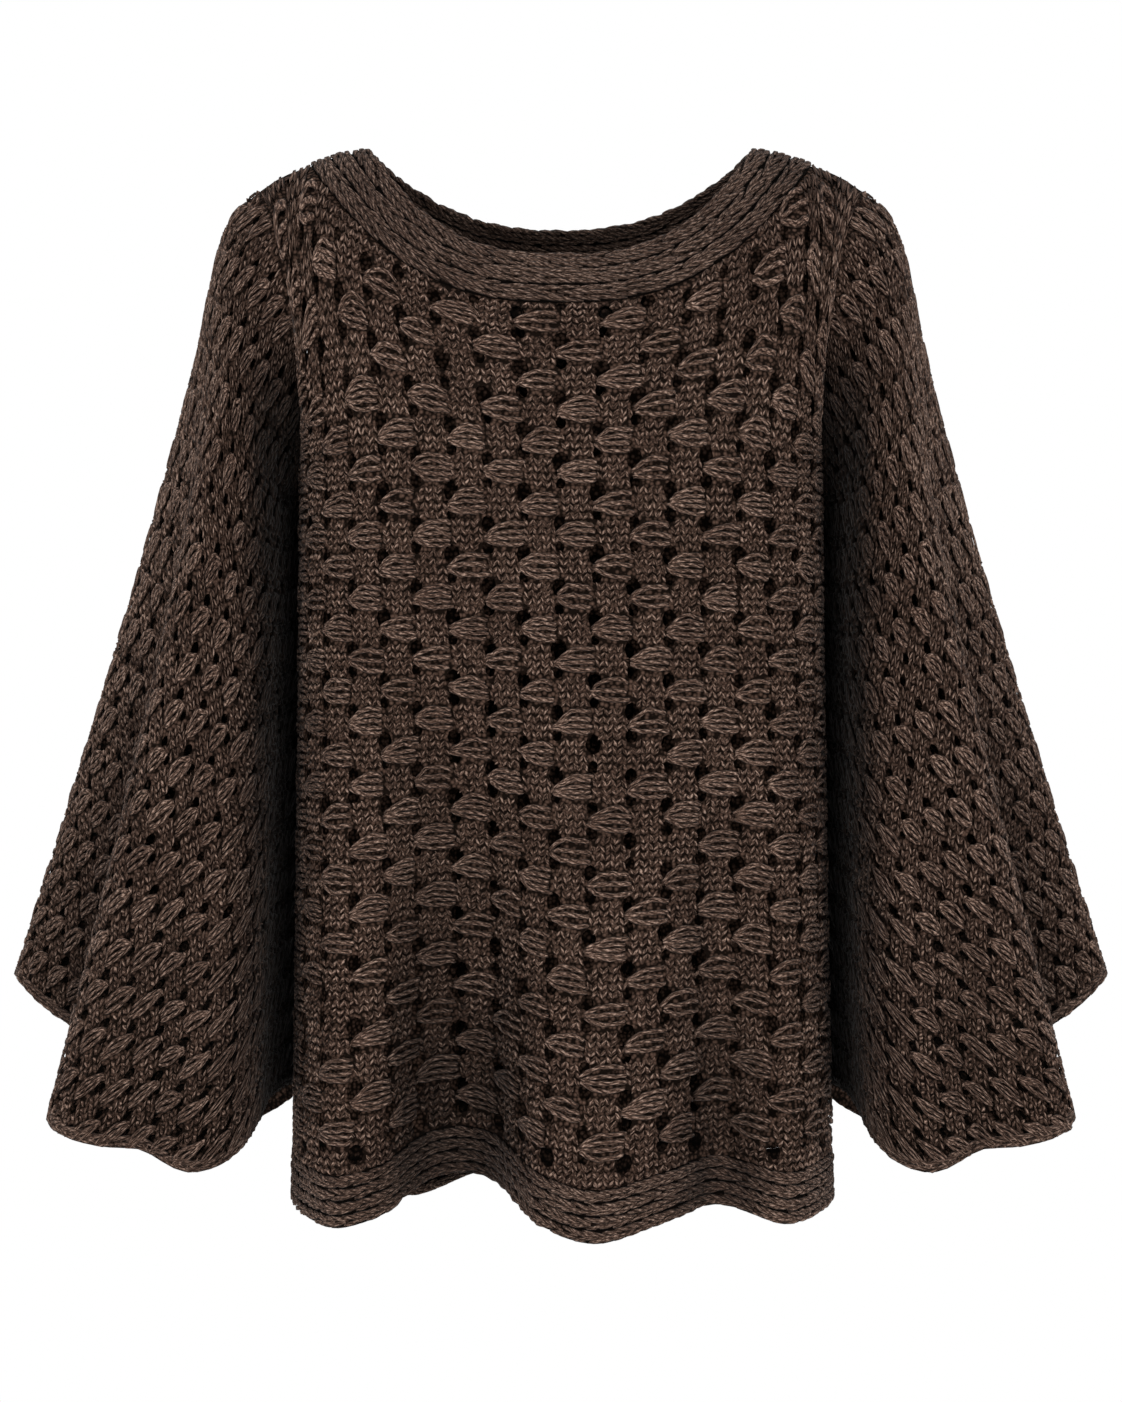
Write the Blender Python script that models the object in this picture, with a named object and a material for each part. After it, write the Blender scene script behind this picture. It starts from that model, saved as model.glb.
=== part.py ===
"""Open-knit sweater: a wide-necked pullover with bell sleeves, worn and hollow.

The cloth is a set of knitted walls, as a maker would sew them: a front, a back, two sleeves,
and the ribbed borders that finish the neck, the hem and the cuffs. Lengths in the tables are
millimetres. X runs to the wearer's left, Y to the wearer's back and Z up, and the origin is
the middle of the neck opening, level with the two high points where the wearer's shoulders
carry the sweater.
"""

import math

import bpy
import numpy as np

MM = 0.001

# Cloth
WALL = 3.0  # thickness of the knitted wall
SEAM_GAP = 0.36  # clear space left between two pieces at a seam

# Neck: the inner edge of the neckband, and the line where the band meets front and back
NECK = {"half_width": 123.0, "rise": 0.0, "front": (70.0, 73.0, 2.75), "back": (60.0, 46.0, 2.4)}
BAND_SEAM = {"half_width": 163.0, "rise": -9.5, "front": (86.0, 96.0, 2.6), "back": (76.0, 69.0, 2.4)}
NECK_RIDGES = 3
NECK_CROWN = 2.0  # how far the band bulges between its two edges

# Shoulders and armholes
SHOULDER_POINT = (196.0, 0.0, -26.0)
ARMPIT = (169.0, 0.0, -205.0)
FRONT_DEPTH = 112.0  # from the side seams to the front, at the armpits
BACK_DEPTH = 104.0
CHEST_ROUNDNESS = 2.5  # exponent of the plan outline: 2 is an ellipse, more is squarer

# How the cloth leaves the top edge and arrives at armpit height, from the middle of a panel
# (share 0) to its armhole (share 1). Inward is towards the middle, forward is away from the
# side seams, and down is down.
FRONT_DRAPE = (
    # share, start inward, start forward, start down, end inward, end forward, end down
    (0.00, 0.0, 45.0, 75.0, 0.0, 12.0, 120.0),
    (0.45, -15.0, 80.0, 85.0, 0.0, 8.0, 140.0),
    (0.70, -38.0, 135.0, 75.0, -4.0, -40.0, 170.0),
    (0.76, -24.0, 172.0, 80.0, -8.0, -72.0, 165.0),
    (0.82, -42.0, 212.0, 84.0, -12.0, -110.0, 155.0),
    (0.92, 5.0, 226.0, 95.0, -25.0, -180.0, 110.0),
    (1.00, 60.0, 224.0, 110.0, -40.0, -230.0, 70.0),
)
BACK_DRAPE = (
    (0.00, 0.0, 50.0, 90.0, 0.0, 5.0, 150.0),
    (0.45, -15.0, 85.0, 90.0, 0.0, 5.0, 150.0),
    (0.70, -38.0, 130.0, 80.0, -4.0, -35.0, 170.0),
    (0.76, -24.0, 165.0, 82.0, -8.0, -65.0, 165.0),
    (0.82, -42.0, 202.0, 84.0, -12.0, -100.0, 155.0),
    (0.92, 5.0, 216.0, 95.0, -25.0, -165.0, 110.0),
    (1.00, 60.0, 214.0, 110.0, -40.0, -215.0, 70.0),
)

# Hem: where the cloth turns on its way round the body, from the wearer's right side seam
# across the front to the left side seam, and back across the back.
HEM_TURNS = (
    # name, x, y, z
    ("right side", -174.0, 0.0, -679.0),
    ("right corner", -166.0, -54.0, -686.0),
    ("front right ridge", -141.0, -94.0, -691.0),
    ("flank", -112.0, -90.0, -683.0),
    ("flank", -96.0, -71.0, -671.0),
    ("front right valley", -80.0, -58.0, -662.0),
    ("front right valley", -58.0, -54.0, -660.0),
    ("front right valley", -41.0, -63.0, -665.0),
    ("flank", -29.0, -84.0, -676.0),
    ("flank", -12.0, -110.0, -689.0),
    ("front middle ridge", 22.0, -130.0, -697.0),
    ("flank", 68.0, -110.0, -685.0),
    ("front left valley", 99.0, -84.0, -677.0),
    ("front left ridge", 141.0, -98.0, -688.0),
    ("left corner", 169.0, -54.0, -682.0),
    ("left side", 175.0, 0.0, -678.0),
    ("left back corner", 161.0, 60.0, -684.0),
    ("back left ridge", 124.0, 98.0, -690.0),
    ("back left valley", 78.0, 78.0, -672.0),
    ("back middle ridge", 22.0, 122.0, -694.0),
    ("back right valley", -42.0, 84.0, -670.0),
    ("back right ridge", -96.0, 114.0, -690.0),
    ("right back corner", -146.0, 82.0, -685.0),
    ("right back side", -169.0, 42.0, -681.0),
)
HEM_FRONT_TURNS = 15  # rows of the table from the right side seam to the left one
HEM_FOLD_EASE = 1.35  # folds deepen towards the hem by this power
HEM_BAND_HEIGHT = 32.0
HEM_RIDGES = 4

# Sleeves: where the cloth turns on its way round the upper arm and round the cuff's edge, from
# the underarm over the front, the outside of the arm and the back.
ARM_TURNS = (
    # name, x, y, z
    ("underarm", 165.0, 46.0, -246.0),
    ("inner side", 175.0, 18.0, -246.0),
    ("inner side", 179.0, -14.0, -240.0),
    ("inner front", 185.0, -44.0, -226.0),
    ("front", 197.0, -69.0, -198.0),
    ("front", 211.0, -72.0, -164.0),
    ("outer front", 222.0, -52.0, -130.0),
    ("outer front", 228.0, -24.0, -106.0),
    ("outside of the arm", 229.5, 6.0, -97.0),
    ("outer back", 227.0, 38.0, -108.0),
    ("outer back", 219.0, 66.0, -134.0),
    ("back", 205.0, 86.0, -172.0),
    ("back", 190.0, 90.0, -206.0),
    ("inner back", 174.0, 74.0, -234.0),
)
ARM_FRONT_TURNS = 8  # rows of the table from the underarm to the outside of the arm
CUFF_TURNS = (
    # name, x, y, z
    ("underarm", 164.0, 84.0, -612.0),
    ("inner side", 174.0, 58.0, -611.0),
    ("inner side", 181.0, 28.0, -611.0),
    ("inner side", 184.0, -2.0, -612.0),
    ("inner side", 187.0, -30.0, -614.0),
    ("inner flank", 190.0, -60.0, -620.0),
    ("inner flank", 194.0, -86.0, -630.0),
    ("inner flank", 207.0, -108.0, -646.0),
    ("main ridge", 232.0, -119.0, -654.0),
    ("main flank", 250.0, -110.0, -648.0),
    ("shallow valley", 265.0, -101.0, -640.0),
    ("outer ridge", 283.0, -109.0, -639.0),
    ("outer ridge", 304.0, -107.0, -635.0),
    ("outer ridge edge", 321.0, -94.0, -629.0),
    ("outer ridge edge", 326.0, -76.0, -620.0),
    ("tuck", 315.0, -57.0, -606.0),
    ("tuck valley", 294.0, -43.0, -588.0),
    ("arm front", 312.0, -29.0, -571.0),
    ("arm front", 336.0, -13.0, -556.0),
    ("arm front", 351.0, 0.0, -543.0),
    ("outside of the arm", 357.0, 16.0, -537.0),
    ("arm back", 350.0, 38.0, -547.0),
    ("arm back", 326.0, 55.0, -568.0),
    ("back tuck valley", 300.0, 66.0, -590.0),
    ("back tuck", 305.0, 92.0, -608.0),
    ("back outer ridge", 312.0, 112.0, -622.0),
    ("back outer ridge", 292.0, 128.0, -634.0),
    ("back valley", 260.0, 112.0, -632.0),
    ("back main ridge", 224.0, 128.0, -646.0),
    ("back flank", 194.0, 116.0, -634.0),
    ("back flank", 175.0, 100.0, -620.0),
)
CUFF_FRONT_TURNS = 20  # rows of the table from the underarm to the outside of the arm
# How the sleeve leaves the armhole, by its share of the way round.
CAP_START = (
    # share, outward, forward, down
    (0.00, 5.0, -24.0, 34.0),
    (0.12, 22.0, -18.0, 44.0),
    (0.25, 52.0, -8.0, 46.0),
    (0.50, 85.0, 0.0, 53.0),
    (0.75, 52.0, 8.0, 46.0),
    (0.88, 22.0, 14.0, 44.0),
    (1.00, 5.0, -24.0, 34.0),
)
CAP_BLEND = 0.2  # how much of the sleeve below sets the way the cap arrives
SLEEVE_FLARE = 1.12  # above 1 the sleeve widens faster towards the cuff
CUFF_HEIGHT = 22.0
CUFF_RIDGES = 2

RIDGE_HEIGHT = 1.5  # how far a knitted ridge stands out of a border

# Mesh divisions
SHOULDER_COLUMNS = 3
FRONT_NECK_COLUMNS = 28
BACK_NECK_COLUMNS = 24
FRONT_ARMHOLE_ROWS = 12
BACK_ARMHOLE_ROWS = 10
SIDE_ROWS = 6
CAP_ROWS = 4
SLEEVE_ROWS = 7
SLEEVE_FRONT_STEPS = 3  # sleeve columns to each row of the front armhole
SLEEVE_BACK_STEPS = 2
STEPS_PER_RIDGE = 2
STEPS_PER_TURN = 24  # how finely the lines through the tables of turns are drawn

YARN_COLOUR = (0.072, 0.051, 0.040)
YARN_ROUGHNESS = 0.92


# Curves and tables


def smooth_value(places, values, at):
    """A smooth curve through a table's values that never overshoots between two of them."""
    places, values, at = (np.asarray(part, float) for part in (places, values, at))
    step = np.diff(places)
    slope = np.diff(values) / step
    inner = np.zeros(len(slope) - 1)
    rising = slope[:-1] * slope[1:] > 0
    weight_a, weight_b = 2 * step[1:] + step[:-1], step[1:] + 2 * step[:-1]
    inner[rising] = (weight_a + weight_b)[rising] / (
        weight_a[rising] / slope[:-1][rising] + weight_b[rising] / slope[1:][rising]
    )
    tangent = np.concatenate([slope[:1], inner, slope[-1:]])
    piece = np.clip(np.searchsorted(places, at) - 1, 0, len(step) - 1)
    share = (at - places[piece]) / step[piece]
    return hermite(
        values[piece],
        values[piece + 1],
        tangent[piece] * step[piece],
        tangent[piece + 1] * step[piece],
        share,
    )


def hermite(start, end, start_pull, end_pull, share):
    """A cubic from start to end that leaves along start_pull and arrives along end_pull."""
    s2, s3 = share**2, share**3
    return (
        (2 * s3 - 3 * s2 + 1) * start
        + (s3 - 2 * s2 + share) * start_pull
        + (3 * s2 - 2 * s3) * end
        + (s3 - s2) * end_pull
    )


def through(points, per_span):
    """A smooth closed line through the points, with per_span steps from each one to the next."""
    points = np.asarray(points, float)
    line = []
    for i in range(len(points)):
        a, b, c, d = (points[(i + k) % len(points)] for k in (-1, 0, 1, 2))
        ab, bc, cd = (math.sqrt(math.dist(p, q)) for p, q in ((a, b), (b, c), (c, d)))
        leave = (b - a) / ab - (c - a) / (ab + bc) + (c - b) / bc
        arrive = (c - b) / bc - (d - b) / (bc + cd) + (d - c) / cd
        for share in np.arange(per_span) / per_span:
            line.append(hermite(b, c, leave * bc, arrive * bc, share))
    line.append(points[0])
    return np.array(line)


def evenly(line, count):
    """count + 1 points at equal distances along a line of many points."""
    run = np.concatenate([[0], np.cumsum(np.linalg.norm(np.diff(line, axis=0), axis=1))])
    wanted = np.linspace(0, run[-1], count + 1)
    return np.stack([np.interp(wanted, run, line[:, axis]) for axis in range(3)], axis=1)


def mirrored(grid):
    """The same grid on the wearer's other side, with its columns in the same order."""
    return grid * np.array([-1.0, 1.0, 1.0])


# Outlines of the neck and the body


def neck_line(edge, side, count):
    """Half of the neck's edge, from the wearer's right to the left. side is front or back."""
    depth, dip, power = edge[side]
    angle = np.radians(np.linspace(-90, 90, 361))
    x = edge["half_width"] * np.sin(angle)
    y = depth * np.cos(angle) * (-1 if side == "front" else 1)
    z = edge["rise"] - dip * (1 - np.abs(x / edge["half_width"]) ** power)
    return evenly(np.stack([x, y, z], axis=1), count)


def top_edge(side, neck_columns):
    """The top of a panel: a shoulder seam, the neckband's seam, and the other shoulder seam."""
    neck = neck_line(BAND_SEAM, side, neck_columns)
    corner, tip = neck[-1], np.array(SHOULDER_POINT)
    share = np.linspace(0, 1, SHOULDER_COLUMNS + 1)[1:, None]
    seam = corner + (tip - corner) * share
    seam[:, 2] += 2.2 * np.sin(math.pi * share[:, 0])
    return np.concatenate([mirrored(seam[::-1]), neck, seam])


def chest_row(side, columns):
    """Half of the plan outline at armpit height, from the right side seam to the left."""
    depth = FRONT_DEPTH if side == "front" else BACK_DEPTH
    angle = np.radians(np.linspace(-90, 90, 721))
    lean = 2 / CHEST_ROUNDNESS
    x = ARMPIT[0] * np.sign(angle) * np.abs(np.sin(angle)) ** lean
    y = depth * np.cos(angle) ** lean * (-1 if side == "front" else 1)
    return evenly(np.stack([x, y, np.full_like(x, ARMPIT[2])], axis=1), columns)


def hem_row(side, columns):
    """Half of the hem's edge, from the right side seam to the left."""
    line = through([turn[1:] for turn in HEM_TURNS], STEPS_PER_TURN)
    middle = HEM_FRONT_TURNS * STEPS_PER_TURN
    return evenly(line[: middle + 1] if side == "front" else line[middle:][::-1], columns)


# The cloth's outer surface, as grids of points: rows run down the cloth, columns round it


def upper_panel(side, neck_columns, rows):
    """From the top edge to armpit height."""
    start = top_edge(side, neck_columns)
    columns = len(start) - 1
    end = chest_row(side, columns)
    share = np.abs(np.linspace(-1, 1, columns + 1))
    table = np.array(FRONT_DRAPE if side == "front" else BACK_DRAPE)
    away = np.stack([-np.sign(start[:, 0]), np.sign(end[:, 1]), -np.ones(columns + 1)], axis=1)
    away[[0, -1], 1] = away[columns // 2, 1]
    pulls = [smooth_value(table[:, 0], table[:, column], share) for column in range(1, 7)]
    leave, arrive = np.stack(pulls[:3], axis=1) * away, np.stack(pulls[3:], axis=1) * away
    return np.array([hermite(start, end, leave, arrive, w) for w in np.linspace(0, 1, rows + 1)])


def lower_rows(side, columns, shares_down):
    """Rows from armpit height (0) to the hem's edge (1)."""
    start, end = chest_row(side, columns), hem_row(side, columns)
    fold = np.array([HEM_FOLD_EASE, HEM_FOLD_EASE, 1.0])
    return np.array([start + (end - start) * share**fold for share in shares_down])


def hem_seam_share():
    """How far down from the armpits the hem band is sewn on."""
    return 1 - HEM_BAND_HEIGHT / (ARMPIT[2] - HEM_TURNS[0][3])


def body_panel(side, neck_columns, armhole_rows):
    """A whole front or back, from its top edge down to the hem band's seam."""
    upper = upper_panel(side, neck_columns, armhole_rows)
    depths = np.linspace(0, hem_seam_share(), SIDE_ROWS + 1)[1:]
    lower = lower_rows(side, upper.shape[1] - 1, depths)
    return np.concatenate([upper, lower])


def hem_ring():
    """The hem band, from its seam down to the edge, as a closed ring of columns."""
    depths = np.linspace(hem_seam_share(), 1, STEPS_PER_RIDGE * HEM_RIDGES + 1)
    front = lower_rows("front", 2 * SHOULDER_COLUMNS + FRONT_NECK_COLUMNS, depths)
    back = lower_rows("back", 2 * SHOULDER_COLUMNS + BACK_NECK_COLUMNS, depths)
    return np.concatenate([front[:, :-1], back[:, :0:-1]], axis=1)


def neck_ring():
    """The neckband, from the neck's edge out to its seam, as a closed ring of columns."""
    rings = []
    for edge in (NECK, BAND_SEAM):
        front = neck_line(edge, "front", FRONT_NECK_COLUMNS)
        back = neck_line(edge, "back", BACK_NECK_COLUMNS)
        rings.append(np.concatenate([front[:-1], back[:0:-1]]))
    share = np.linspace(0, 1, STEPS_PER_RIDGE * NECK_RIDGES + 1)
    flat = np.array([rings[0] + (rings[1] - rings[0]) * s for s in share])
    crown = NECK_CROWN * np.sin(math.pi * share)[:, None, None]
    return flat + crown * grid_normals(flat, closed=True)


def armhole_loop(front, back):
    """The left armhole: from the armpit up the front to the shoulder and down the back."""
    front_edge = front[: FRONT_ARMHOLE_ROWS + 1, -1][::-1]
    back_edge = back[: BACK_ARMHOLE_ROWS + 1, -1]
    loop = [divided(front_edge, SLEEVE_FRONT_STEPS), divided(back_edge, SLEEVE_BACK_STEPS)]
    return np.concatenate([loop[0][:-1], loop[1][:-1]])


def divided(line, steps):
    """The same straight stretches, each cut into equal steps."""
    shares = np.arange(steps)[:, None] / steps
    points = [a + (b - a) * shares for a, b in zip(line[:-1], line[1:])]
    return np.concatenate(points + [line[-1:]])


def sleeve_columns():
    """How many columns of the sleeve belong to its front and to its back."""
    return SLEEVE_FRONT_STEPS * FRONT_ARMHOLE_ROWS, SLEEVE_BACK_STEPS * BACK_ARMHOLE_ROWS


def round_shares():
    """Each sleeve column's share of the way round: a half for the front, a half for the back."""
    front, back = sleeve_columns()
    return np.concatenate([0.5 * np.arange(front) / front, 0.5 + 0.5 * np.arange(back) / back])


def arm_loop(turns, front_turns):
    """A closed ring round the arm, from a table of turns."""
    line = through([turn[1:] for turn in turns], STEPS_PER_TURN)
    middle = front_turns * STEPS_PER_TURN
    front, back = sleeve_columns()
    halves = evenly(line[: middle + 1], front), evenly(line[middle:], back)
    return np.concatenate([halves[0][:-1], halves[1][:-1]])


def arm_ring():
    """The sleeve where it leaves its cap."""
    return arm_loop(ARM_TURNS, ARM_FRONT_TURNS)


def cuff_ring():
    """The cuff's edge."""
    return arm_loop(CUFF_TURNS, CUFF_FRONT_TURNS)


def sleeve_rows(shares_down):
    """Rows from the upper-arm ring (0) to the cuff's edge (1)."""
    ring, cuff = arm_ring(), cuff_ring()
    flare = np.array([SLEEVE_FLARE, SLEEVE_FLARE, 1.0])
    return np.array([ring + (cuff - ring) * share**flare for share in shares_down])


def cuff_seam_share():
    """How far down from the upper-arm ring the cuff is sewn on."""
    ring, cuff = arm_ring(), cuff_ring()
    return 1 - CUFF_HEIGHT / np.linalg.norm(cuff - ring, axis=1).mean()


def sleeve_grid(loop):
    """The left sleeve, from the armhole to the cuff's seam."""
    ring, below = arm_ring(), sleeve_rows([CAP_BLEND])[0]
    table = np.array(CAP_START)
    pulls = [smooth_value(table[:, 0], table[:, column], round_shares()) for column in (1, 2, 3)]
    leave = np.stack([pulls[0], -pulls[1], -pulls[2]], axis=1)
    run = np.linalg.norm(ring - loop, axis=1, keepdims=True)
    arrive = (below - ring) / np.linalg.norm(below - ring, axis=1, keepdims=True) * run
    cap = [hermite(loop, ring, leave, arrive, w) for w in np.linspace(0, 1, CAP_ROWS + 1)]
    depths = np.linspace(0, cuff_seam_share(), SLEEVE_ROWS + 1)[1:]
    return np.concatenate([np.array(cap), sleeve_rows(depths)])


def cuff_grid():
    """The left cuff, from its seam down to its edge."""
    depths = np.linspace(cuff_seam_share(), 1, STEPS_PER_RIDGE * CUFF_RIDGES + 1)
    return sleeve_rows(depths)


# Normals, shared where two pieces meet, so that their sewn edges stand face to face


def grid_faces(rows, columns, closed, first=0):
    """The corners of each face of a grid, as row and column numbers, from its first corner on."""
    last = columns if closed else columns - 1
    faces = [
        ((r, c), (r + 1, c), (r + 1, (c + 1) % columns), (r, (c + 1) % columns))
        for r in range(rows - 1)
        for c in range(last)
    ]
    return [face[first:] + face[:first] for face in faces]


def grid_normals(grid, closed):
    """Unit normals of one grid's points."""
    return shared_normals([(grid, closed)])[0]


def shared_normals(pieces):
    """Unit normals of each grid's points, with equal ones where points of two grids coincide."""
    sums = {}
    for grid, closed in pieces:
        for face in grid_faces(*grid.shape[:2], closed):
            a, b, c, d = (grid[corner] for corner in face)
            turn = np.cross(c - a, d - b)
            for corner in (a, b, c, d):
                key = tuple(np.round(corner, 3))
                sums[key] = sums.get(key, 0) + turn
    found = []
    for grid, closed in pieces:
        normals = np.array([[sums[tuple(np.round(p, 3))] for p in row] for row in grid])
        found.append(normals / np.linalg.norm(normals, axis=2, keepdims=True))
    return found


def even_out_loop(normals):
    """Makes the armhole's in-between normals lie between those that the panels share."""
    front, back = sleeve_columns()
    for start, count, steps in ((0, front, SLEEVE_FRONT_STEPS), (front, back, SLEEVE_BACK_STEPS)):
        for i in range(count):
            low = start + i // steps * steps
            high = (low + steps) % (front + back)
            share = (i % steps) / steps
            normals[0, start + i] = normals[0, low] * (1 - share) + normals[0, high] * share
    return normals


# Walls


def pulled_back(grid, closed, edges):
    """The grid with the named edges moved in by half of the seam gap."""
    moved = grid.copy()
    pairs = {
        "top": (np.s_[0], np.s_[1]),
        "bottom": (np.s_[-1], np.s_[-2]),
        "left": (np.s_[:, 0], np.s_[:, 1]),
        "right": (np.s_[:, -1], np.s_[:, -2]),
    }
    for edge in edges:
        here, inside = pairs[edge]
        step = grid[inside] - grid[here]
        moved[here] += step / np.linalg.norm(step, axis=-1, keepdims=True) * SEAM_GAP / 2
    return moved


def ridged(rows, ridges):
    """How far each row of a border stands out: a row of rounded knitted ridges."""
    share = np.linspace(0, 1, rows)
    return RIDGE_HEIGHT * np.sin(math.pi * ridges * share) ** 2


def cloth_material(name):
    """Dark brown matt yarn."""
    material = bpy.data.materials.new(name)
    material.use_nodes = True
    shader = material.node_tree.nodes["Principled BSDF"]
    shader.inputs["Base Color"].default_value = (*YARN_COLOUR, 1.0)
    shader.inputs["Roughness"].default_value = YARN_ROUGHNESS
    shader.inputs["Metallic"].default_value = 0.0
    return material


def add_wall(name, grid, normals, closed, edges, raised=None):
    """A closed wall between a grid's points, moved out where it is raised, and a plain inside.

    The left pieces' faces start at the next corner, and their rims run the other way, so that
    they split as the right ones mirrored.
    """
    left = name.endswith("_left")
    rows, columns = grid.shape[:2]
    surface = pulled_back(grid, closed, edges)
    lift = np.zeros(rows) if raised is None else raised
    outer = surface + normals * lift[:, None, None]
    inner = surface - normals * WALL
    points = np.concatenate([outer.reshape(-1, 3), inner.reshape(-1, 3)]) * MM

    def number(corner, inside):
        return inside * rows * columns + corner[0] * columns + corner[1]

    faces = []
    for face in grid_faces(rows, columns, closed, first=int(left)):
        faces.append([number(corner, 0) for corner in face])
        faces.append([number(corner, 1) for corner in reversed(face)])
    along = range(columns if closed else columns - 1)
    rim = [((0, c), (0, (c + 1) % columns), True) for c in along]
    rim += [((rows - 1, c), (rows - 1, (c + 1) % columns), False) for c in along]
    if not closed:
        rim += [((r, 0), (r + 1, 0), False) for r in range(rows - 1)]
        rim += [((r, columns - 1), (r + 1, columns - 1), True) for r in range(rows - 1)]
    for low, high, turned in rim:
        # The two sides of a neck, side, hem or cuff seam are split along the same diagonal, so
        # they lie face to face.
        start, end = (high, low) if left else (low, high)
        for triangle in (((start, 0), (start, 1), (end, 1)), ((start, 0), (end, 1), (end, 0))):
            order = reversed(triangle) if turned != left else triangle
            faces.append([number(corner, inside) for corner, inside in order])
    mesh = bpy.data.meshes.new(name)
    mesh.from_pydata(points.tolist(), [], faces)
    mesh.validate()
    mesh.shade_smooth()
    mesh.set_sharp_from_angle(angle=math.radians(50))
    mesh.materials.append(cloth_material(name))
    piece = bpy.data.objects.new(name, mesh)
    garment.objects.link(piece)
    return piece


def flipped(grid):
    """Mirrored to the wearer's right side, with the columns reversed so that faces still look out."""
    return mirrored(grid)[:, ::-1]


for old in list(bpy.data.objects):
    bpy.data.objects.remove(old)
garment = bpy.data.collections.new("open_knit_sweater")
bpy.context.scene.collection.children.link(garment)


def main():
    """Builds the eight pieces."""
    front = body_panel("front", FRONT_NECK_COLUMNS, FRONT_ARMHOLE_ROWS)
    back = body_panel("back", BACK_NECK_COLUMNS, BACK_ARMHOLE_ROWS)[:, ::-1]
    neckband, hem = neck_ring(), hem_ring()
    sleeve = sleeve_grid(armhole_loop(front, back[:, ::-1]))
    cuff = cuff_grid()
    pieces = {
        "front": (front, False, ("top", "bottom", "left", "right"), None),
        "back": (back, False, ("top", "bottom", "left", "right"), None),
        "neckband": (neckband, True, ("bottom",), ridged(len(neckband), NECK_RIDGES)),
        "hem_band": (hem, True, ("top",), ridged(len(hem), HEM_RIDGES)),
        "sleeve_left": (sleeve, True, ("top", "bottom"), None),
        "sleeve_right": (flipped(sleeve), True, ("top", "bottom"), None),
        "cuff_left": (cuff, True, ("top",), ridged(len(cuff), CUFF_RIDGES)),
        "cuff_right": (flipped(cuff), True, ("top",), ridged(len(cuff), CUFF_RIDGES)),
    }
    normals = dict(zip(pieces, shared_normals([piece[:2] for piece in pieces.values()])))
    normals["sleeve_left"] = even_out_loop(normals["sleeve_left"])
    normals["sleeve_right"] = flipped(normals["sleeve_left"])
    for name, (grid, closed, edges, raised) in pieces.items():
        add_wall(name, grid, normals[name], closed, edges, raised)


main()
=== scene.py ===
"""Open-knit sweater: the knitting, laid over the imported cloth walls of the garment.

Lengths in the tables are millimetres. A cloth is a smooth surface over one packed wall, and
everything knitted is first drawn on the flat cloth, in columns and rows of the stitch pattern,
and then laid on that surface: a web with the open eyelets in it, bundles of long strands, and
blocks of small stitches. X runs to the wearer's left, Y to the wearer's back and Z up.
"""

import math

import bpy
import numpy as np
from bpy.props import FloatProperty, FloatVectorProperty, PointerProperty
from bpy.types import Operator, Panel, PropertyGroup
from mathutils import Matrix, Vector
from mathutils.bvhtree import BVHTree


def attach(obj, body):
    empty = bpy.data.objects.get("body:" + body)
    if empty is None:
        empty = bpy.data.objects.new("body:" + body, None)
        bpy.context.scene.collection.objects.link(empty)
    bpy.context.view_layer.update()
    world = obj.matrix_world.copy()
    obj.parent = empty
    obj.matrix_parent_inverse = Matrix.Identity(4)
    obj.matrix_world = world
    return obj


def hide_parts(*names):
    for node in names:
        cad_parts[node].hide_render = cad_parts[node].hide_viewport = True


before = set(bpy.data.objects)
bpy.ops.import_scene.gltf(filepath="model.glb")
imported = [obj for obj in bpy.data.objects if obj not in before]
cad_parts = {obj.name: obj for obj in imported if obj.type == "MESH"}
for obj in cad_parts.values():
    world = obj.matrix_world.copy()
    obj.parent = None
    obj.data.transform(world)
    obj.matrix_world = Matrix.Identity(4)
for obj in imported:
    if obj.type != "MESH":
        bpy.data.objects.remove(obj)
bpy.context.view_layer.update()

bl_info = {
    "name": "Open-Knit Sweater",
    "version": (1, 0, 0),
    "blender": (4, 5, 0),
    "location": "3D View > Sidebar > Sweater",
    "description": "Knits the sweater's cloth over its packed walls",
    "category": "Object",
}

MM = 0.001

# The cut of the cloth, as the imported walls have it

NECK = {"half_width": 123.0, "rise": 0.0, "front": (70.0, 73.0, 2.75), "back": (60.0, 46.0, 2.4)}
BAND_SEAM = {"half_width": 163.0, "rise": -9.5, "front": (86.0, 96.0, 2.6), "back": (76.0, 69.0, 2.4)}
NECK_CROWN = 2.0
SHOULDER_POINT = (196.0, 0.0, -26.0)
ARMPIT = (169.0, 0.0, -205.0)
DEPTH = {"front": 112.0, "back": 104.0}
CHEST_ROUNDNESS = 2.5
# share of the way from the middle to the armhole: how the cloth leaves the top edge (inward,
# forward, down) and arrives at armpit height
DRAPE = {
    "front": (
        (0.00, 0.0, 45.0, 75.0, 0.0, 12.0, 120.0),
        (0.45, -15.0, 80.0, 85.0, 0.0, 8.0, 140.0),
        (0.70, -38.0, 135.0, 75.0, -4.0, -40.0, 170.0),
        (0.76, -24.0, 172.0, 80.0, -8.0, -72.0, 165.0),
        (0.82, -42.0, 212.0, 84.0, -12.0, -110.0, 155.0),
        (0.92, 5.0, 226.0, 95.0, -25.0, -180.0, 110.0),
        (1.00, 60.0, 224.0, 110.0, -40.0, -230.0, 70.0),
    ),
    "back": (
        (0.00, 0.0, 50.0, 90.0, 0.0, 5.0, 150.0),
        (0.45, -15.0, 85.0, 90.0, 0.0, 5.0, 150.0),
        (0.70, -38.0, 130.0, 80.0, -4.0, -35.0, 170.0),
        (0.76, -24.0, 165.0, 82.0, -8.0, -65.0, 165.0),
        (0.82, -42.0, 202.0, 84.0, -12.0, -100.0, 155.0),
        (0.92, 5.0, 216.0, 95.0, -25.0, -165.0, 110.0),
        (1.00, 60.0, 214.0, 110.0, -40.0, -215.0, 70.0),
    ),
}
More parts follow.
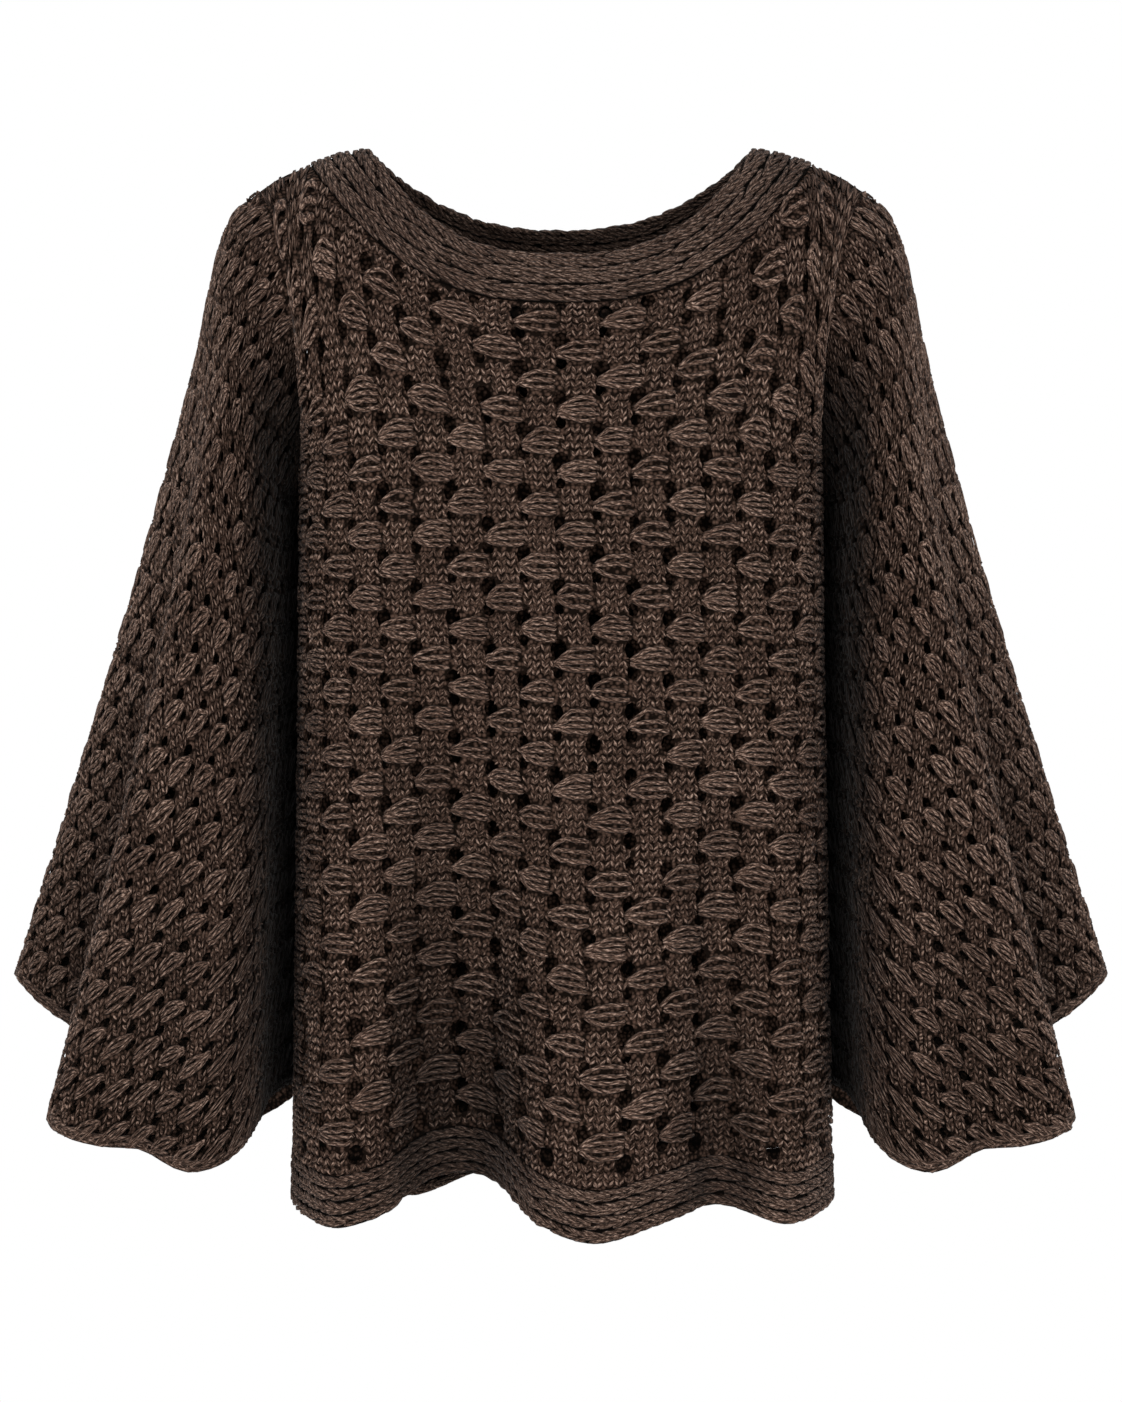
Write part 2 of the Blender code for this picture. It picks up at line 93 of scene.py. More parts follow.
# where the hem turns: from the right side seam across the front, and back across the back
HEM_TURNS = (
    (-174.0, 0.0, -679.0), (-166.0, -54.0, -686.0), (-141.0, -94.0, -691.0),
    (-112.0, -90.0, -683.0), (-96.0, -71.0, -671.0), (-80.0, -58.0, -662.0), (-58.0, -54.0, -660.0),
    (-41.0, -63.0, -665.0), (-29.0, -84.0, -676.0), (-12.0, -110.0, -689.0), (22.0, -130.0, -697.0),
    (68.0, -110.0, -685.0), (99.0, -84.0, -677.0), (141.0, -98.0, -688.0), (169.0, -54.0, -682.0),
    (175.0, 0.0, -678.0), (161.0, 60.0, -684.0), (124.0, 98.0, -690.0), (78.0, 78.0, -672.0),
    (22.0, 122.0, -694.0), (-42.0, 84.0, -670.0), (-96.0, 114.0, -690.0), (-146.0, 82.0, -685.0),
    (-169.0, 42.0, -681.0),
)
HEM_FRONT_TURNS = 15
HEM_FOLD_EASE = 1.35
HEM_BAND_HEIGHT = 32.0
# where the left sleeve turns, from the underarm over the front, the outside and the back
ARM_TURNS = (
    (165.0, 46.0, -246.0), (175.0, 18.0, -246.0), (179.0, -14.0, -240.0), (185.0, -44.0, -226.0),
    (197.0, -69.0, -198.0), (211.0, -72.0, -164.0), (222.0, -52.0, -130.0), (228.0, -24.0, -106.0),
    (229.5, 6.0, -97.0), (227.0, 38.0, -108.0), (219.0, 66.0, -134.0), (205.0, 86.0, -172.0),
    (190.0, 90.0, -206.0), (174.0, 74.0, -234.0),
)
ARM_FRONT_TURNS = 8
CUFF_TURNS = (
    (164.0, 84.0, -612.0), (174.0, 58.0, -611.0), (181.0, 28.0, -611.0), (184.0, -2.0, -612.0),
    (187.0, -30.0, -614.0), (190.0, -60.0, -620.0), (194.0, -86.0, -630.0), (207.0, -108.0, -646.0),
    (232.0, -119.0, -654.0), (250.0, -110.0, -648.0), (265.0, -101.0, -640.0),
    (283.0, -109.0, -639.0), (304.0, -107.0, -635.0), (321.0, -94.0, -629.0),
    (326.0, -76.0, -620.0), (315.0, -57.0, -606.0), (294.0, -43.0, -588.0), (312.0, -29.0, -571.0),
    (336.0, -13.0, -556.0), (351.0, 0.0, -543.0), (357.0, 16.0, -537.0), (350.0, 38.0, -547.0),
    (326.0, 55.0, -568.0), (300.0, 66.0, -590.0), (305.0, 92.0, -608.0), (312.0, 112.0, -622.0),
    (292.0, 128.0, -634.0), (260.0, 112.0, -632.0), (224.0, 128.0, -646.0), (194.0, 116.0, -634.0),
    (175.0, 100.0, -620.0),
)
CUFF_FRONT_TURNS = 20
# share of the way round: how the sleeve leaves the armhole (outward, forward, down)
CAP_START = (
    (0.00, 5.0, -24.0, 34.0),
    (0.12, 22.0, -18.0, 44.0),
    (0.25, 52.0, -8.0, 46.0),
    (0.50, 85.0, 0.0, 53.0),
    (0.75, 52.0, 8.0, 46.0),
    (0.88, 22.0, 14.0, 44.0),
    (1.00, 5.0, -24.0, 34.0),
)
CAP_BLEND = 0.2
SLEEVE_FLARE = 1.12
CUFF_HEIGHT = 22.0

# How finely the smooth surfaces are drawn
SHOULDER_COLUMNS = 9
NECK_COLUMNS = 84
ARMHOLE_ROWS = 40
SIDE_ROWS = 50
CAP_ROWS = 14
SLEEVE_ROWS = 60
SLEEVE_COLUMNS = 80
STEPS_PER_TURN = 24

# The knitting
CELL = (23.4, 19.6)  # a cell of the body's pattern, across and down
BODY_COLUMNS = 20
SLEEVE_CELL = (20.0, 12.0)
SLEEVE_LEAN = (72.0, 44.0)  # degrees that the sleeves' rows lean, at the armhole and at the cuff
SLEEVE_SLANT = 0.4  # how many cells further down each row of a sleeve starts than the one outside it
SLEEVE_START = 0.3  # the share of the way round from which the sleeves' columns are counted
SLEEVE_OPEN = (0.06, 0.4)  # the shares of the way round between which eyelets go right through
SLEEVE_OPEN_DOWN = 0.72  # and the share of a sleeve's length down to which they do
# how far the rows follow the curve of the neck or hem, how far from it, and how quickly less so
NECK_FOLLOW = (0.85, 190.0, 1.5)
HEM_FOLLOW = (0.85, 330.0, 1.3)
MARKS_PER_ROW = 12  # places at which a row's depth is worked out
# a bundle's strands, its height in its cell and how much narrower it ends; the stitches across and
# down a plain cell; how wide and high the eyelets are
BODY_KNIT = (4, (0.8, 0.95), (0.0, 0.15)), (8, 4), (1.1, 1.1)
SLEEVE_KNIT = (3, (0.74, 0.92), (0.2, 0.6)), (6, 3), (1.2, 0.74)
# eyelets above and below the start of a bundle: shift down, half width and half height in cells
EYELET_ABOVE = (0.15, 0.135, 0.205)
EYELET_BELOW = (-0.13, 0.105, 0.15)
EYELET_EDGE = 6.0  # eyelets nearer to an edge than this are closed
# a closed eyelet's floor is coloured black: painted shade in the hole
EYELET_BASE = 3.5  # how deep a closed eyelet goes below the ground
GROUND_DEPTH = 1.4  # how deep the ground lies under the cloth's face
SEAM_WIDTH = 11.0  # of the strips of ground behind the seams
SEAM_PITCH = 20.0
SEAM_LIFT = 0.2  # how far those strips lie above the ground that they join
STITCH_EDGE = 1.2  # the outermost plain stitches keep this far from an edge
FLAT_ENOUGH = 0.7  # cloth that faces up more than this, on the shoulders, has plain stitches only

# The borders: height, ridges, how far a ridge stands out, the width of the line between two, and
# the share of light that reaches the outside between the close stitches
NECKBAND = (41.0, 3, 0.6, 1.3, 0.7)
HEM_BAND = (HEM_BAND_HEIGHT, 4, 0.9, 1.2, 0.8)
CUFF_EDGE = (CUFF_HEIGHT, 2, 0.3, 0.4, 0.8)
CUFF_EDGE_START = 15.0  # how far below a cuff's seam its edge begins

# The size that each cloth was cut to, and the area of the whole cut, in metres
CUT = {
    "front": ((0.56, 0.67), 0.29),
    "back": ((0.54, 0.67), 0.29),
    "sleeve": ((0.85, 0.56), 0.28),
    "cuff": ((0.88, 0.03), 0.022),
    "neckband": ((0.88, 0.085), 0.06),
    "hem_band": ((1.13, 0.068), 0.075),
}

# The shade in folds and gaps
SHADE_RAYS = 36
SHADE_REACH = 150.0  # cloth farther off than this leaves a place in full light
SHADE_START = 0.4  # how openly the darkest places lie
SHADE_POWER = (5.4, 4.0)  # how quickly the light falls off in folds of the body and of the arms
SHADE_DEPTH = 0.08  # the share of light in the darkest places
OPEN_LIGHT = (0.97, 0.88)  # and in the open, on the body and on the arms
INSIDE_LIGHT = 0.42  # the share of light on the inside of a border
WALLS = {}  # what shades the body and what shades the arms, made once

# The stage
SCALE = 0.65 * MM  # metres for each pixel of the photo's height
PHOTO_HEIGHT = 1402
MIDDLE = (0.0, 0.0, -0.35815)  # where the camera looks
FLOOR_RADIUS = 2.6
FLOOR_CORNERS = 96
LIGHT_SIZE = 1.0
MAIN_LIGHT = (-2.2, -2.7, -0.1)
FILL_LIGHT = (2.2, -2.7, -0.25)


# Curves


def smooth_value(places, values, at):
    """A smooth curve through a table's values that never overshoots between two of them."""
    places, values, at = (np.asarray(part, float) for part in (places, values, at))
    step = np.diff(places)
    slope = np.diff(values) / step
    inner = np.zeros(len(slope) - 1)
    rising = slope[:-1] * slope[1:] > 0
    weight_a, weight_b = 2 * step[1:] + step[:-1], step[1:] + 2 * step[:-1]
    inner[rising] = (weight_a + weight_b)[rising] / (
        weight_a[rising] / slope[:-1][rising] + weight_b[rising] / slope[1:][rising]
    )
    tangent = np.concatenate([slope[:1], inner, slope[-1:]])
    piece = np.clip(np.searchsorted(places, at) - 1, 0, len(step) - 1)
    share = (at - places[piece]) / step[piece]
    pulls = tangent[piece] * step[piece], tangent[piece + 1] * step[piece]
    return hermite(values[piece], values[piece + 1], *pulls, share)


def smooth_columns(table, share):
    """Each column of a table after the first, at these shares of the way down the first."""
    places, *columns = np.array(table).T
    return [smooth_value(places, column, share) for column in columns]


def between(table, rows, columns):
    """A table's values at these rows and columns, which may lie between its own."""
    j = np.clip(rows.astype(int), 0, table.shape[0] - 2)
    i = np.clip(columns.astype(int), 0, table.shape[1] - 2)
    u, v = columns - i, rows - j
    if table.ndim > 2:
        u, v = u[..., None], v[..., None]
    low = table[j, i] * (1 - u) + table[j, i + 1] * u
    high = table[j + 1, i] * (1 - u) + table[j + 1, i + 1] * u
    return low * (1 - v) + high * v


def hermite(start, end, start_pull, end_pull, share):
    """A cubic from start to end that leaves along start_pull and arrives along end_pull."""
    s2, s3 = share**2, share**3
    return (
        (2 * s3 - 3 * s2 + 1) * start
        + (s3 - 2 * s2 + share) * start_pull
        + (3 * s2 - 2 * s3) * end
        + (s3 - s2) * end_pull
    )


def through(points, per_span):
    """A smooth closed line through the points, with per_span steps from each one to the next."""
    points = np.asarray(points, float)
    line = []
    for i in range(len(points)):
        a, b, c, d = (points[(i + k) % len(points)] for k in (-1, 0, 1, 2))
        ab, bc, cd = (math.sqrt(math.dist(p, q)) for p, q in ((a, b), (b, c), (c, d)))
        leave = (b - a) / ab - (c - a) / (ab + bc) + (c - b) / bc
        arrive = (c - b) / bc - (d - b) / (bc + cd) + (d - c) / cd
        line += [hermite(b, c, leave * bc, arrive * bc, k / per_span) for k in range(per_span)]
    return np.array(line + [points[0]])


def lengths_along(line):
    """How far each point lies along its line. The points run down the first axis."""
    steps = np.linalg.norm(np.diff(line, axis=0), axis=-1)
    return np.concatenate([np.zeros_like(steps[:1]), np.cumsum(steps, axis=0)])


def evenly(line, count):
    """count + 1 points at equal distances along a line of many points."""
    run = lengths_along(line)
    wanted = np.linspace(0, run[-1], count + 1)
    return np.stack([np.interp(wanted, run, line[:, axis]) for axis in range(3)], axis=1)


# The outlines and surfaces of the garment


def neck_line(edge, side, count):
    """Half of the neck's edge, from the wearer's right to the left."""
    depth, dip, power = edge[side]
    angle = np.radians(np.linspace(-90, 90, 361))
    x = edge["half_width"] * np.sin(angle)
    y = depth * np.cos(angle) * (-1 if side == "front" else 1)
    z = edge["rise"] - dip * (1 - np.abs(x / edge["half_width"]) ** power)
    return evenly(np.stack([x, y, z], axis=1), count)


def top_edge(side):
    """A shoulder seam, the neckband's seam, and the other shoulder seam."""
    neck = neck_line(BAND_SEAM, side, NECK_COLUMNS)
    corner, tip = neck[-1], np.array(SHOULDER_POINT)
    share = np.linspace(0, 1, SHOULDER_COLUMNS + 1)[1:, None]
    seam = corner + (tip - corner) * share
    seam[:, 2] += 2.2 * np.sin(math.pi * share[:, 0])
    return np.concatenate([seam[::-1] * [-1, 1, 1], neck, seam])


def chest_row(side):
    """Half of the plan outline at armpit height, from the right side seam to the left."""
    angle = np.radians(np.linspace(-90, 90, 721))
    lean = 2 / CHEST_ROUNDNESS
    x = ARMPIT[0] * np.sign(angle) * np.abs(np.sin(angle)) ** lean
    y = DEPTH[side] * np.cos(angle) ** lean * (-1 if side == "front" else 1)
    line = np.stack([x, y, np.full_like(x, ARMPIT[2])], axis=1)
    return evenly(line, 2 * SHOULDER_COLUMNS + NECK_COLUMNS)


def hem_row(side):
    """Half of the hem's edge, from the right side seam to the left."""
    line = through(HEM_TURNS, STEPS_PER_TURN)
    middle = HEM_FRONT_TURNS * STEPS_PER_TURN
    half = line[: middle + 1] if side == "front" else line[middle:][::-1]
    return evenly(half, 2 * SHOULDER_COLUMNS + NECK_COLUMNS)


def upper_panel(side):
    """A front or back from its top edge to armpit height."""
    start, end = top_edge(side), chest_row(side)
    columns = len(start)
    away = np.stack([-np.sign(start[:, 0]), np.sign(end[:, 1]), -np.ones(columns)], axis=1)
    away[[0, -1], 1] = away[columns // 2, 1]
    pulls = smooth_columns(DRAPE[side], np.abs(np.linspace(-1, 1, columns)))
    leave, arrive = np.stack(pulls[:3], axis=1) * away, np.stack(pulls[3:], axis=1) * away
    rows = np.linspace(0, 1, ARMHOLE_ROWS + 1)
    return np.array([hermite(start, end, leave, arrive, w) for w in rows])


def lower_rows(side, shares_down):
    """Rows from armpit height (0) to the hem's edge (1)."""
    start, end = chest_row(side), hem_row(side)
    fold = np.array([HEM_FOLD_EASE, HEM_FOLD_EASE, 1.0])
    return np.array([start + (end - start) * share**fold for share in shares_down])


def hem_seam_share():
    """How far down from the armpits the hem band is sewn on."""
    return 1 - HEM_BAND_HEIGHT / (ARMPIT[2] - HEM_TURNS[0][2])


def body_panel(side):
    """A front or back, its columns running so that the rows' order and theirs face outwards."""
    lower = lower_rows(side, np.linspace(0, hem_seam_share(), SIDE_ROWS + 1)[1:])
    panel = np.concatenate([upper_panel(side), lower])
    return panel if side == "front" else panel[:, ::-1]


def ring_of(front, back):
    """A closed ring of columns, the first one repeated at the end."""
    return np.concatenate([front[:, :-1], back[:, ::-1]], axis=1)


def hem_ring():
    """The hem band from its seam down to its edge."""
    depths = np.linspace(hem_seam_share(), 1, 9)
    return ring_of(lower_rows("front", depths), lower_rows("back", depths))


def neck_ring():
    """The neckband from its seam up to the neck's edge, bulging a little between them."""
    lines = []
    for edge in (BAND_SEAM, NECK):
        front, back = (neck_line(edge, side, NECK_COLUMNS) for side in ("front", "back"))
        lines.append(np.concatenate([front[:-1], back[::-1]]))
    share = np.linspace(0, 1, 9)
    flat = np.array([lines[0] + (lines[1] - lines[0]) * s for s in share])
    crown = NECK_CROWN * np.sin(math.pi * share)[:, None, None]
    return (flat + crown * normals_of(flat[::-1], closed=True)[::-1])[:, ::-1]


def arm_loop(turns, front_turns):
    """A closed ring round the arm, from a table of turns, with its first point repeated."""
    line = through(turns, STEPS_PER_TURN)
    middle = front_turns * STEPS_PER_TURN
    half = SLEEVE_COLUMNS // 2
    return np.concatenate([evenly(line[: middle + 1], half)[:-1], evenly(line[middle:], half)])


def sleeve_rows(shares_down):
    """Rows from the upper arm (0) to the cuff's edge (1)."""
    ring, cuff = arm_loop(ARM_TURNS, ARM_FRONT_TURNS), arm_loop(CUFF_TURNS, CUFF_FRONT_TURNS)
    flare = np.array([SLEEVE_FLARE, SLEEVE_FLARE, 1.0])
    return np.array([ring + (cuff - ring) * share**flare for share in shares_down])


def cuff_seam_share():
    """How far down from the upper arm the cuff is sewn on."""
    ring, cuff = sleeve_rows([0, 1])
    return 1 - CUFF_HEIGHT / np.linalg.norm(cuff - ring, axis=1).mean()


def sleeve_grid():
    """The left sleeve from the armhole to the cuff's seam."""
    half = SLEEVE_COLUMNS // 2
    front = evenly(upper_panel("front")[:, -1][::-1], half)
    back = evenly(upper_panel("back")[:, -1], half)
    loop = np.concatenate([front[:-1], back])
    ring, below = sleeve_rows([0, CAP_BLEND])
    out, ahead, down = smooth_columns(CAP_START, np.linspace(0, 1, SLEEVE_COLUMNS + 1))
    leave = np.stack([out, -ahead, -down], axis=1)
    run = np.linalg.norm(ring - loop, axis=1, keepdims=True)
    arrive = (below - ring) / np.linalg.norm(below - ring, axis=1, keepdims=True) * run
    cap = [hermite(loop, ring, leave, arrive, w) for w in np.linspace(0, 1, CAP_ROWS + 1)]
    depths = np.linspace(0, cuff_seam_share(), SLEEVE_ROWS + 1)[1:]
    return np.concatenate([np.array(cap), sleeve_rows(depths)])


def cuff_grid():
    """The left cuff from its seam down to its edge."""
    return sleeve_rows(np.linspace(cuff_seam_share(), 1, 7))


def normals_of(grid, closed):
    """Unit normals of a grid's points, outwards where rows run down and columns to the right."""
    down = np.gradient(grid, axis=0)
    if closed:
        wide = np.concatenate([grid[:, -2:-1], grid, grid[:, 1:2]], axis=1)
        across = (wide[:, 2:] - wide[:, :-2]) / 2
    else:
        across = np.gradient(grid, axis=1)
    turn = np.cross(down, across)
    return turn / np.maximum(np.linalg.norm(turn, axis=2, keepdims=True), 1e-9)


def walls_of(grids):
    """The grids as one mesh that rays can hit."""
    points, faces, first = [], [], 0
    for grid in grids:
        rows, columns = grid.shape[:2]
        r, c = np.meshgrid(np.arange(rows - 1), np.arange(columns - 1), indexing="ij")
        corner = first + r * columns + c
        around = [corner, corner + columns, corner + columns + 1, corner + 1]
        faces.append(np.stack(around, axis=-1).reshape(-1, 4))
        points.append(grid.reshape(-1, 3))
        first += rows * columns
    return BVHTree.FromPolygons(np.concatenate(points).tolist(), np.concatenate(faces).tolist())


def light_on(walls, grid, normals, power):
    """How much light reaches each point of a grid: less where other cloth is near in front of it."""
    count = np.arange(SHADE_RAYS) + 0.5
    out, turn = np.sqrt(count / SHADE_RAYS), count * math.pi * (3 - math.sqrt(5))
    rays = np.stack([out * np.cos(turn), out * np.sin(turn), np.sqrt(1 - out**2)], axis=1)
    aside = np.cross(normals, (0.0, 0.3, 1.0))
    aside /= np.linalg.norm(aside, axis=-1, keepdims=True)
    axes = np.stack([aside, np.cross(normals, aside), normals], axis=-2)
    light = np.zeros(grid.shape[:2])
    for spot in np.ndindex(*light.shape):
        start = Vector(grid[spot] + 4 * normals[spot])
        hits = (walls.ray_cast(start, Vector(ray), SHADE_REACH)[3] for ray in rays @ axes[spot])
        light[spot] = sum(SHADE_REACH if hit is None else hit for hit in hits)
    share = np.clip((light / SHADE_RAYS / SHADE_REACH - SHADE_START) / (1 - SHADE_START), 0, 1)
    return SHADE_DEPTH + (1 - SHADE_DEPTH) * share**power


def walls_near(arm):
    """What shades a cloth: the body's own folds, and for an arm the whole sweater."""
    if arm not in WALLS:
        grids = [body_panel("front"), body_panel("back"), hem_ring()]
        if arm:
            sleeve = np.concatenate([sleeve_grid(), cuff_grid()])
            grids += [sleeve, sleeve * [-1, 1, 1]]
        WALLS[arm] = walls_of(grids)
    return WALLS[arm]


class Cloth:
    """A smooth surface that knitting is laid on, by its shares across and down."""

    def __init__(self, grid, closed, mirrored=False):
        self.grid, self.mirrored = grid, mirrored
        self.normals = normals_of(grid, closed)
        self.rows, self.columns = grid.shape[0] - 1, grid.shape[1] - 1
        arm = bool(grid[..., 0].mean() > ARMPIT[0])
        walls = walls_near(arm)
        # every third point is enough, and the ones between are blended
        rows, columns = (np.append(np.arange(0, n, 3), n) for n in (self.rows, self.columns))
        spots = grid[rows][:, columns], self.normals[rows][:, columns]
        light = OPEN_LIGHT[arm] * light_on(walls, *spots, SHADE_POWER[arm])
        light = np.array([np.interp(np.arange(self.columns + 1), columns, row) for row in light])
        light = np.array([np.interp(np.arange(self.rows + 1), rows, column) for column in light.T]).T
        self.light = light[..., None]

    def blended(self, values, across, down):
        """The grid's values at these shares."""
        rows, columns = np.clip(down, 0, 1) * self.rows, np.clip(across, 0, 1) * self.columns
        return between(values, rows, columns)

    def laid(self, across, down, height):
        """Points in metres at these shares, so many millimetres above the surface."""
        normal = self.blended(self.normals, across, down)
        normal /= np.linalg.norm(normal, axis=-1, keepdims=True)
        points = self.blended(self.grid, across, down) + normal * np.asarray(height)[..., None]
        return points * (np.array([-MM, MM, MM]) if self.mirrored else MM)


def cells_on(pattern, columns, rows):
    """The column and row of every cell that reaches onto the pattern's cloth."""
    a, b = (v.ravel() for v in np.meshgrid(columns, rows))
    spots = ((0, 0), (1, 0), (0, 1), (1, 1), (0.5, 0.5))
    on = np.max([pattern.margin(a + i, b + j) for i, j in spots], axis=0) > 0
    return np.stack([a[on], b[on]], axis=1)


class BodyPattern:
    """The body's columns and rows of cells. Rows are level, and bend along the neck and the hem."""

    cell = CELL
    lift = 0.0

    def __init__(self, cloth, pierced):
        self.cloth, self.pierced = cloth, pierced
        run = lengths_along(cloth.grid)
        run -= run[ARMHOLE_ROWS]
        top, bottom = run[:1], run[-1:]
        near_neck = np.clip(1 - (run - top) / NECK_FOLLOW[1], 0, 1) ** NECK_FOLLOW[2]
        near_hem = np.clip(1 - (bottom - run) / HEM_FOLLOW[1], 0, 1) ** HEM_FOLLOW[2]
        middle = top[:, cloth.columns // 2, None]
        run = run + NECK_FOLLOW[0] * (middle - top) * near_neck
        run = run + HEM_FOLLOW[0] * (bottom.mean() - bottom) * near_hem
        run = np.maximum.accumulate(run, axis=0)
        self.first = math.floor(run.min() / CELL[1]) - 1
        self.last = math.ceil(run.max() / CELL[1]) + 1
        count = MARKS_PER_ROW * (self.last - self.first)
        share = np.linspace(0, 1, cloth.rows + 1)
        marks = np.linspace(self.first, self.last, count + 1) * CELL[1]
        self.inverse = np.array([np.interp(marks, column, share) for column in run.T]).T
        self.ends = run[0] / CELL[1], run[-1] / CELL[1]

    def shares(self, a, b):
        """Shares across and down the cloth, of column a and row b."""
        across = np.clip(a / BODY_COLUMNS, 0, 1)
        mark = (np.clip(b, self.first, self.last) - self.first) * MARKS_PER_ROW
        return across, between(self.inverse, mark, across * self.cloth.columns)

    def margin(self, a, b):
        """Millimetres from column a and row b to the cloth's nearest edge, less than 0 outside."""
        at = np.clip(a / BODY_COLUMNS, 0, 1) * self.cloth.columns
        top, bottom = (np.interp(at, np.arange(self.cloth.columns + 1), end) for end in self.ends)
        aside = np.minimum(a, BODY_COLUMNS - a) * CELL[0]
        return np.minimum(aside, np.minimum(b - top, bottom - b) * CELL[1])

    def cells(self):
        """The column and row of every cell on the cloth."""
        return cells_on(self, np.arange(BODY_COLUMNS), np.arange(self.first, self.last + 1))

    def open_at(self, a, b):
        """Whether the eyelet at a corner goes right through."""
        return self.pierced


class SleevePattern:
    """A sleeve's cells, in rows that lean down and outwards, less so towards the cuff.

    Rows cross each depth of the sleeve at equal distances, and columns are counted along them. Both
    are worked out at every few millimetres of depth, some way past the sleeve's ends too."""

    cell = SLEEVE_CELL
    lift = 0.0
    columns = np.arange(-72, 96)
    rows = np.arange(-68, 76)
    step, spare = 4.0, 240.0

    def __init__(self, cloth):
        self.cloth = cloth
        self.run = lengths_along(cloth.grid).mean(axis=1)
        self.girth = lengths_along(cloth.grid.swapaxes(0, 1))[-1]
        self.share = np.linspace(0, 1, cloth.rows + 1)
        self.depths = np.arange(-self.spare, self.run[-1] + self.spare, self.step)
        lean = np.radians(np.interp(self.depths, (0, self.run[-1]), SLEEVE_LEAN))
        start = np.searchsorted(self.depths, 0)
        self.sideways, along = (
            (np.cumsum(turn) - np.cumsum(turn)[start]) * self.step
            for turn in (1 / np.tan(lean), np.sin(lean))
        )
        self.pitch = SLEEVE_CELL[1] / np.sin(lean).mean()
        self.table = []
        for row in self.rows:
            around = self.sideways - row * self.pitch
            column = (around * np.cos(lean) + along) / SLEEVE_CELL[0] - SLEEVE_SLANT * row
            self.table.append(np.interp(self.columns, column, self.depths))
        self.table = np.array(self.table)

    def place(self, a, b):
        """Millimetres round the sleeve and down it, of column a and row b."""
        column = np.clip(a - self.columns[0], 0, len(self.columns) - 1.001)
        row = np.clip(b - self.rows[0], 0, len(self.rows) - 1.001)
        down = between(self.table, row, column)
        share = np.interp(down, self.run, self.share)
        around = np.interp(down, self.depths, self.sideways) - b * self.pitch
        girth = np.interp(share, self.share, self.girth)
        return around + SLEEVE_START * girth, down, girth, share

    def shares(self, a, b):
        """Shares across and down the cloth, of column a and row b."""
        around, _, girth, share = self.place(a, b)
        return np.clip(around / girth, 0, 1), share

    def margin(self, a, b):
        """Millimetres from column a and row b to the cloth's nearest edge, less than 0 outside."""
        around, down, girth, _ = self.place(a, b)
        return np.minimum(np.minimum(around, girth - around), np.minimum(down, self.run[-1] - down))

    def cells(self):
        """The column and row of every cell on the cloth."""
        return cells_on(self, self.columns[:-1], self.rows[:-1])

    def open_at(self, a, b):
        """Whether the eyelet at a corner goes right through: those on the upper front do."""
        around, down, girth, _ = self.place(np.array(a), np.array(b))
        ahead = SLEEVE_OPEN[0] < around / girth < SLEEVE_OPEN[1]
        return ahead and down < SLEEVE_OPEN_DOWN * self.run[-1]


class SeamPattern:
    """A strip along a seam, in one column of cells, that closes the join of two grounds."""

    lift = SEAM_LIFT

    def __init__(self, cloth):
        self.cloth = cloth
        self.width = lengths_along(cloth.grid.swapaxes(0, 1))[-1].mean()
        self.length = lengths_along(cloth.grid)[-1].mean()
        self.cell = self.width, SEAM_PITCH

    def shares(self, a, b):
        """Shares across and along the strip, of column a and row b."""
        return np.clip(a, 0, 1), np.clip(b * self.cell[1] / self.length, 0, 1)

    def margin(self, a, b):
        """Millimetres from column a and row b to the strip's nearest edge, less than 0 outside."""
        aside, along = np.minimum(a, 1 - a) * self.width, b * self.cell[1]
        return np.minimum(aside, np.minimum(along, self.length - along))

    def cells(self):
        """The column and row of every cell on the strip."""
        return cells_on(self, np.arange(1), np.arange(math.ceil(self.length / self.cell[1])))

    def open_at(self, a, b):
        """Whether the eyelet at a corner goes right through."""
        return False


def spaced(lines, count):
    """The lines at count + 1 even places along the seam that they all start from."""
    run = lengths_along(lines[:, 0])
    at = np.interp(np.linspace(0, run[-1], count + 1), run, np.arange(len(run)))
    low = np.clip(at.astype(int), 0, len(run) - 2)
    share = (at - low)[:, None, None]
    return lines[low] * (1 - share) + lines[low + 1] * share


def away_from(lines, distances):
    """Points at these distances from each line's start, along it."""
    found = []
    for line in lines:
        run = lengths_along(line)
        found.append(np.stack([np.interp(distances, run, line[:, k]) for k in range(3)], axis=1))
    return np.array(found)


def seam_strip(one, other, width, mirrored=False):
    """A strip along a seam, from lines that run away from it on either side."""
    far = np.linspace(0, width / 2, 4)
    grid = np.concatenate([away_from(one, far)[:, ::-1], away_from(other, far[1:])], axis=1)
    return SeamPattern(Cloth(grid, closed=False, mirrored=mirrored))


def body_seams():
    """Strips along the two side seams and the two shoulder seams, the latter down to the arms."""
    front, back, sleeve = body_panel("front"), body_panel("back"), sleeve_grid()
    low_front, low_back = front[ARMHOLE_ROWS:], back[ARMHOLE_ROWS:]
    strips = [
        seam_strip(low_front[:, ::-1][:, :6], low_back[:, :6], SEAM_WIDTH),
        seam_strip(low_back[:, ::-1][:, :6], low_front[:, :6], SEAM_WIDTH),
    ]
    top, half = SHOULDER_COLUMNS + 1, SLEEVE_COLUMNS // 2
    ahead = np.concatenate([front[:9, -top:].swapaxes(0, 1), sleeve[1:10, half::-1][:, :9]])
    behind = np.concatenate([back[:9, top - 1 :: -1].swapaxes(0, 1), sleeve[1:10, half:][:, :9]])
    for mirrored in (False, True):
        strips.append(seam_strip(ahead, behind, 2 * SEAM_WIDTH, mirrored))
    return strips


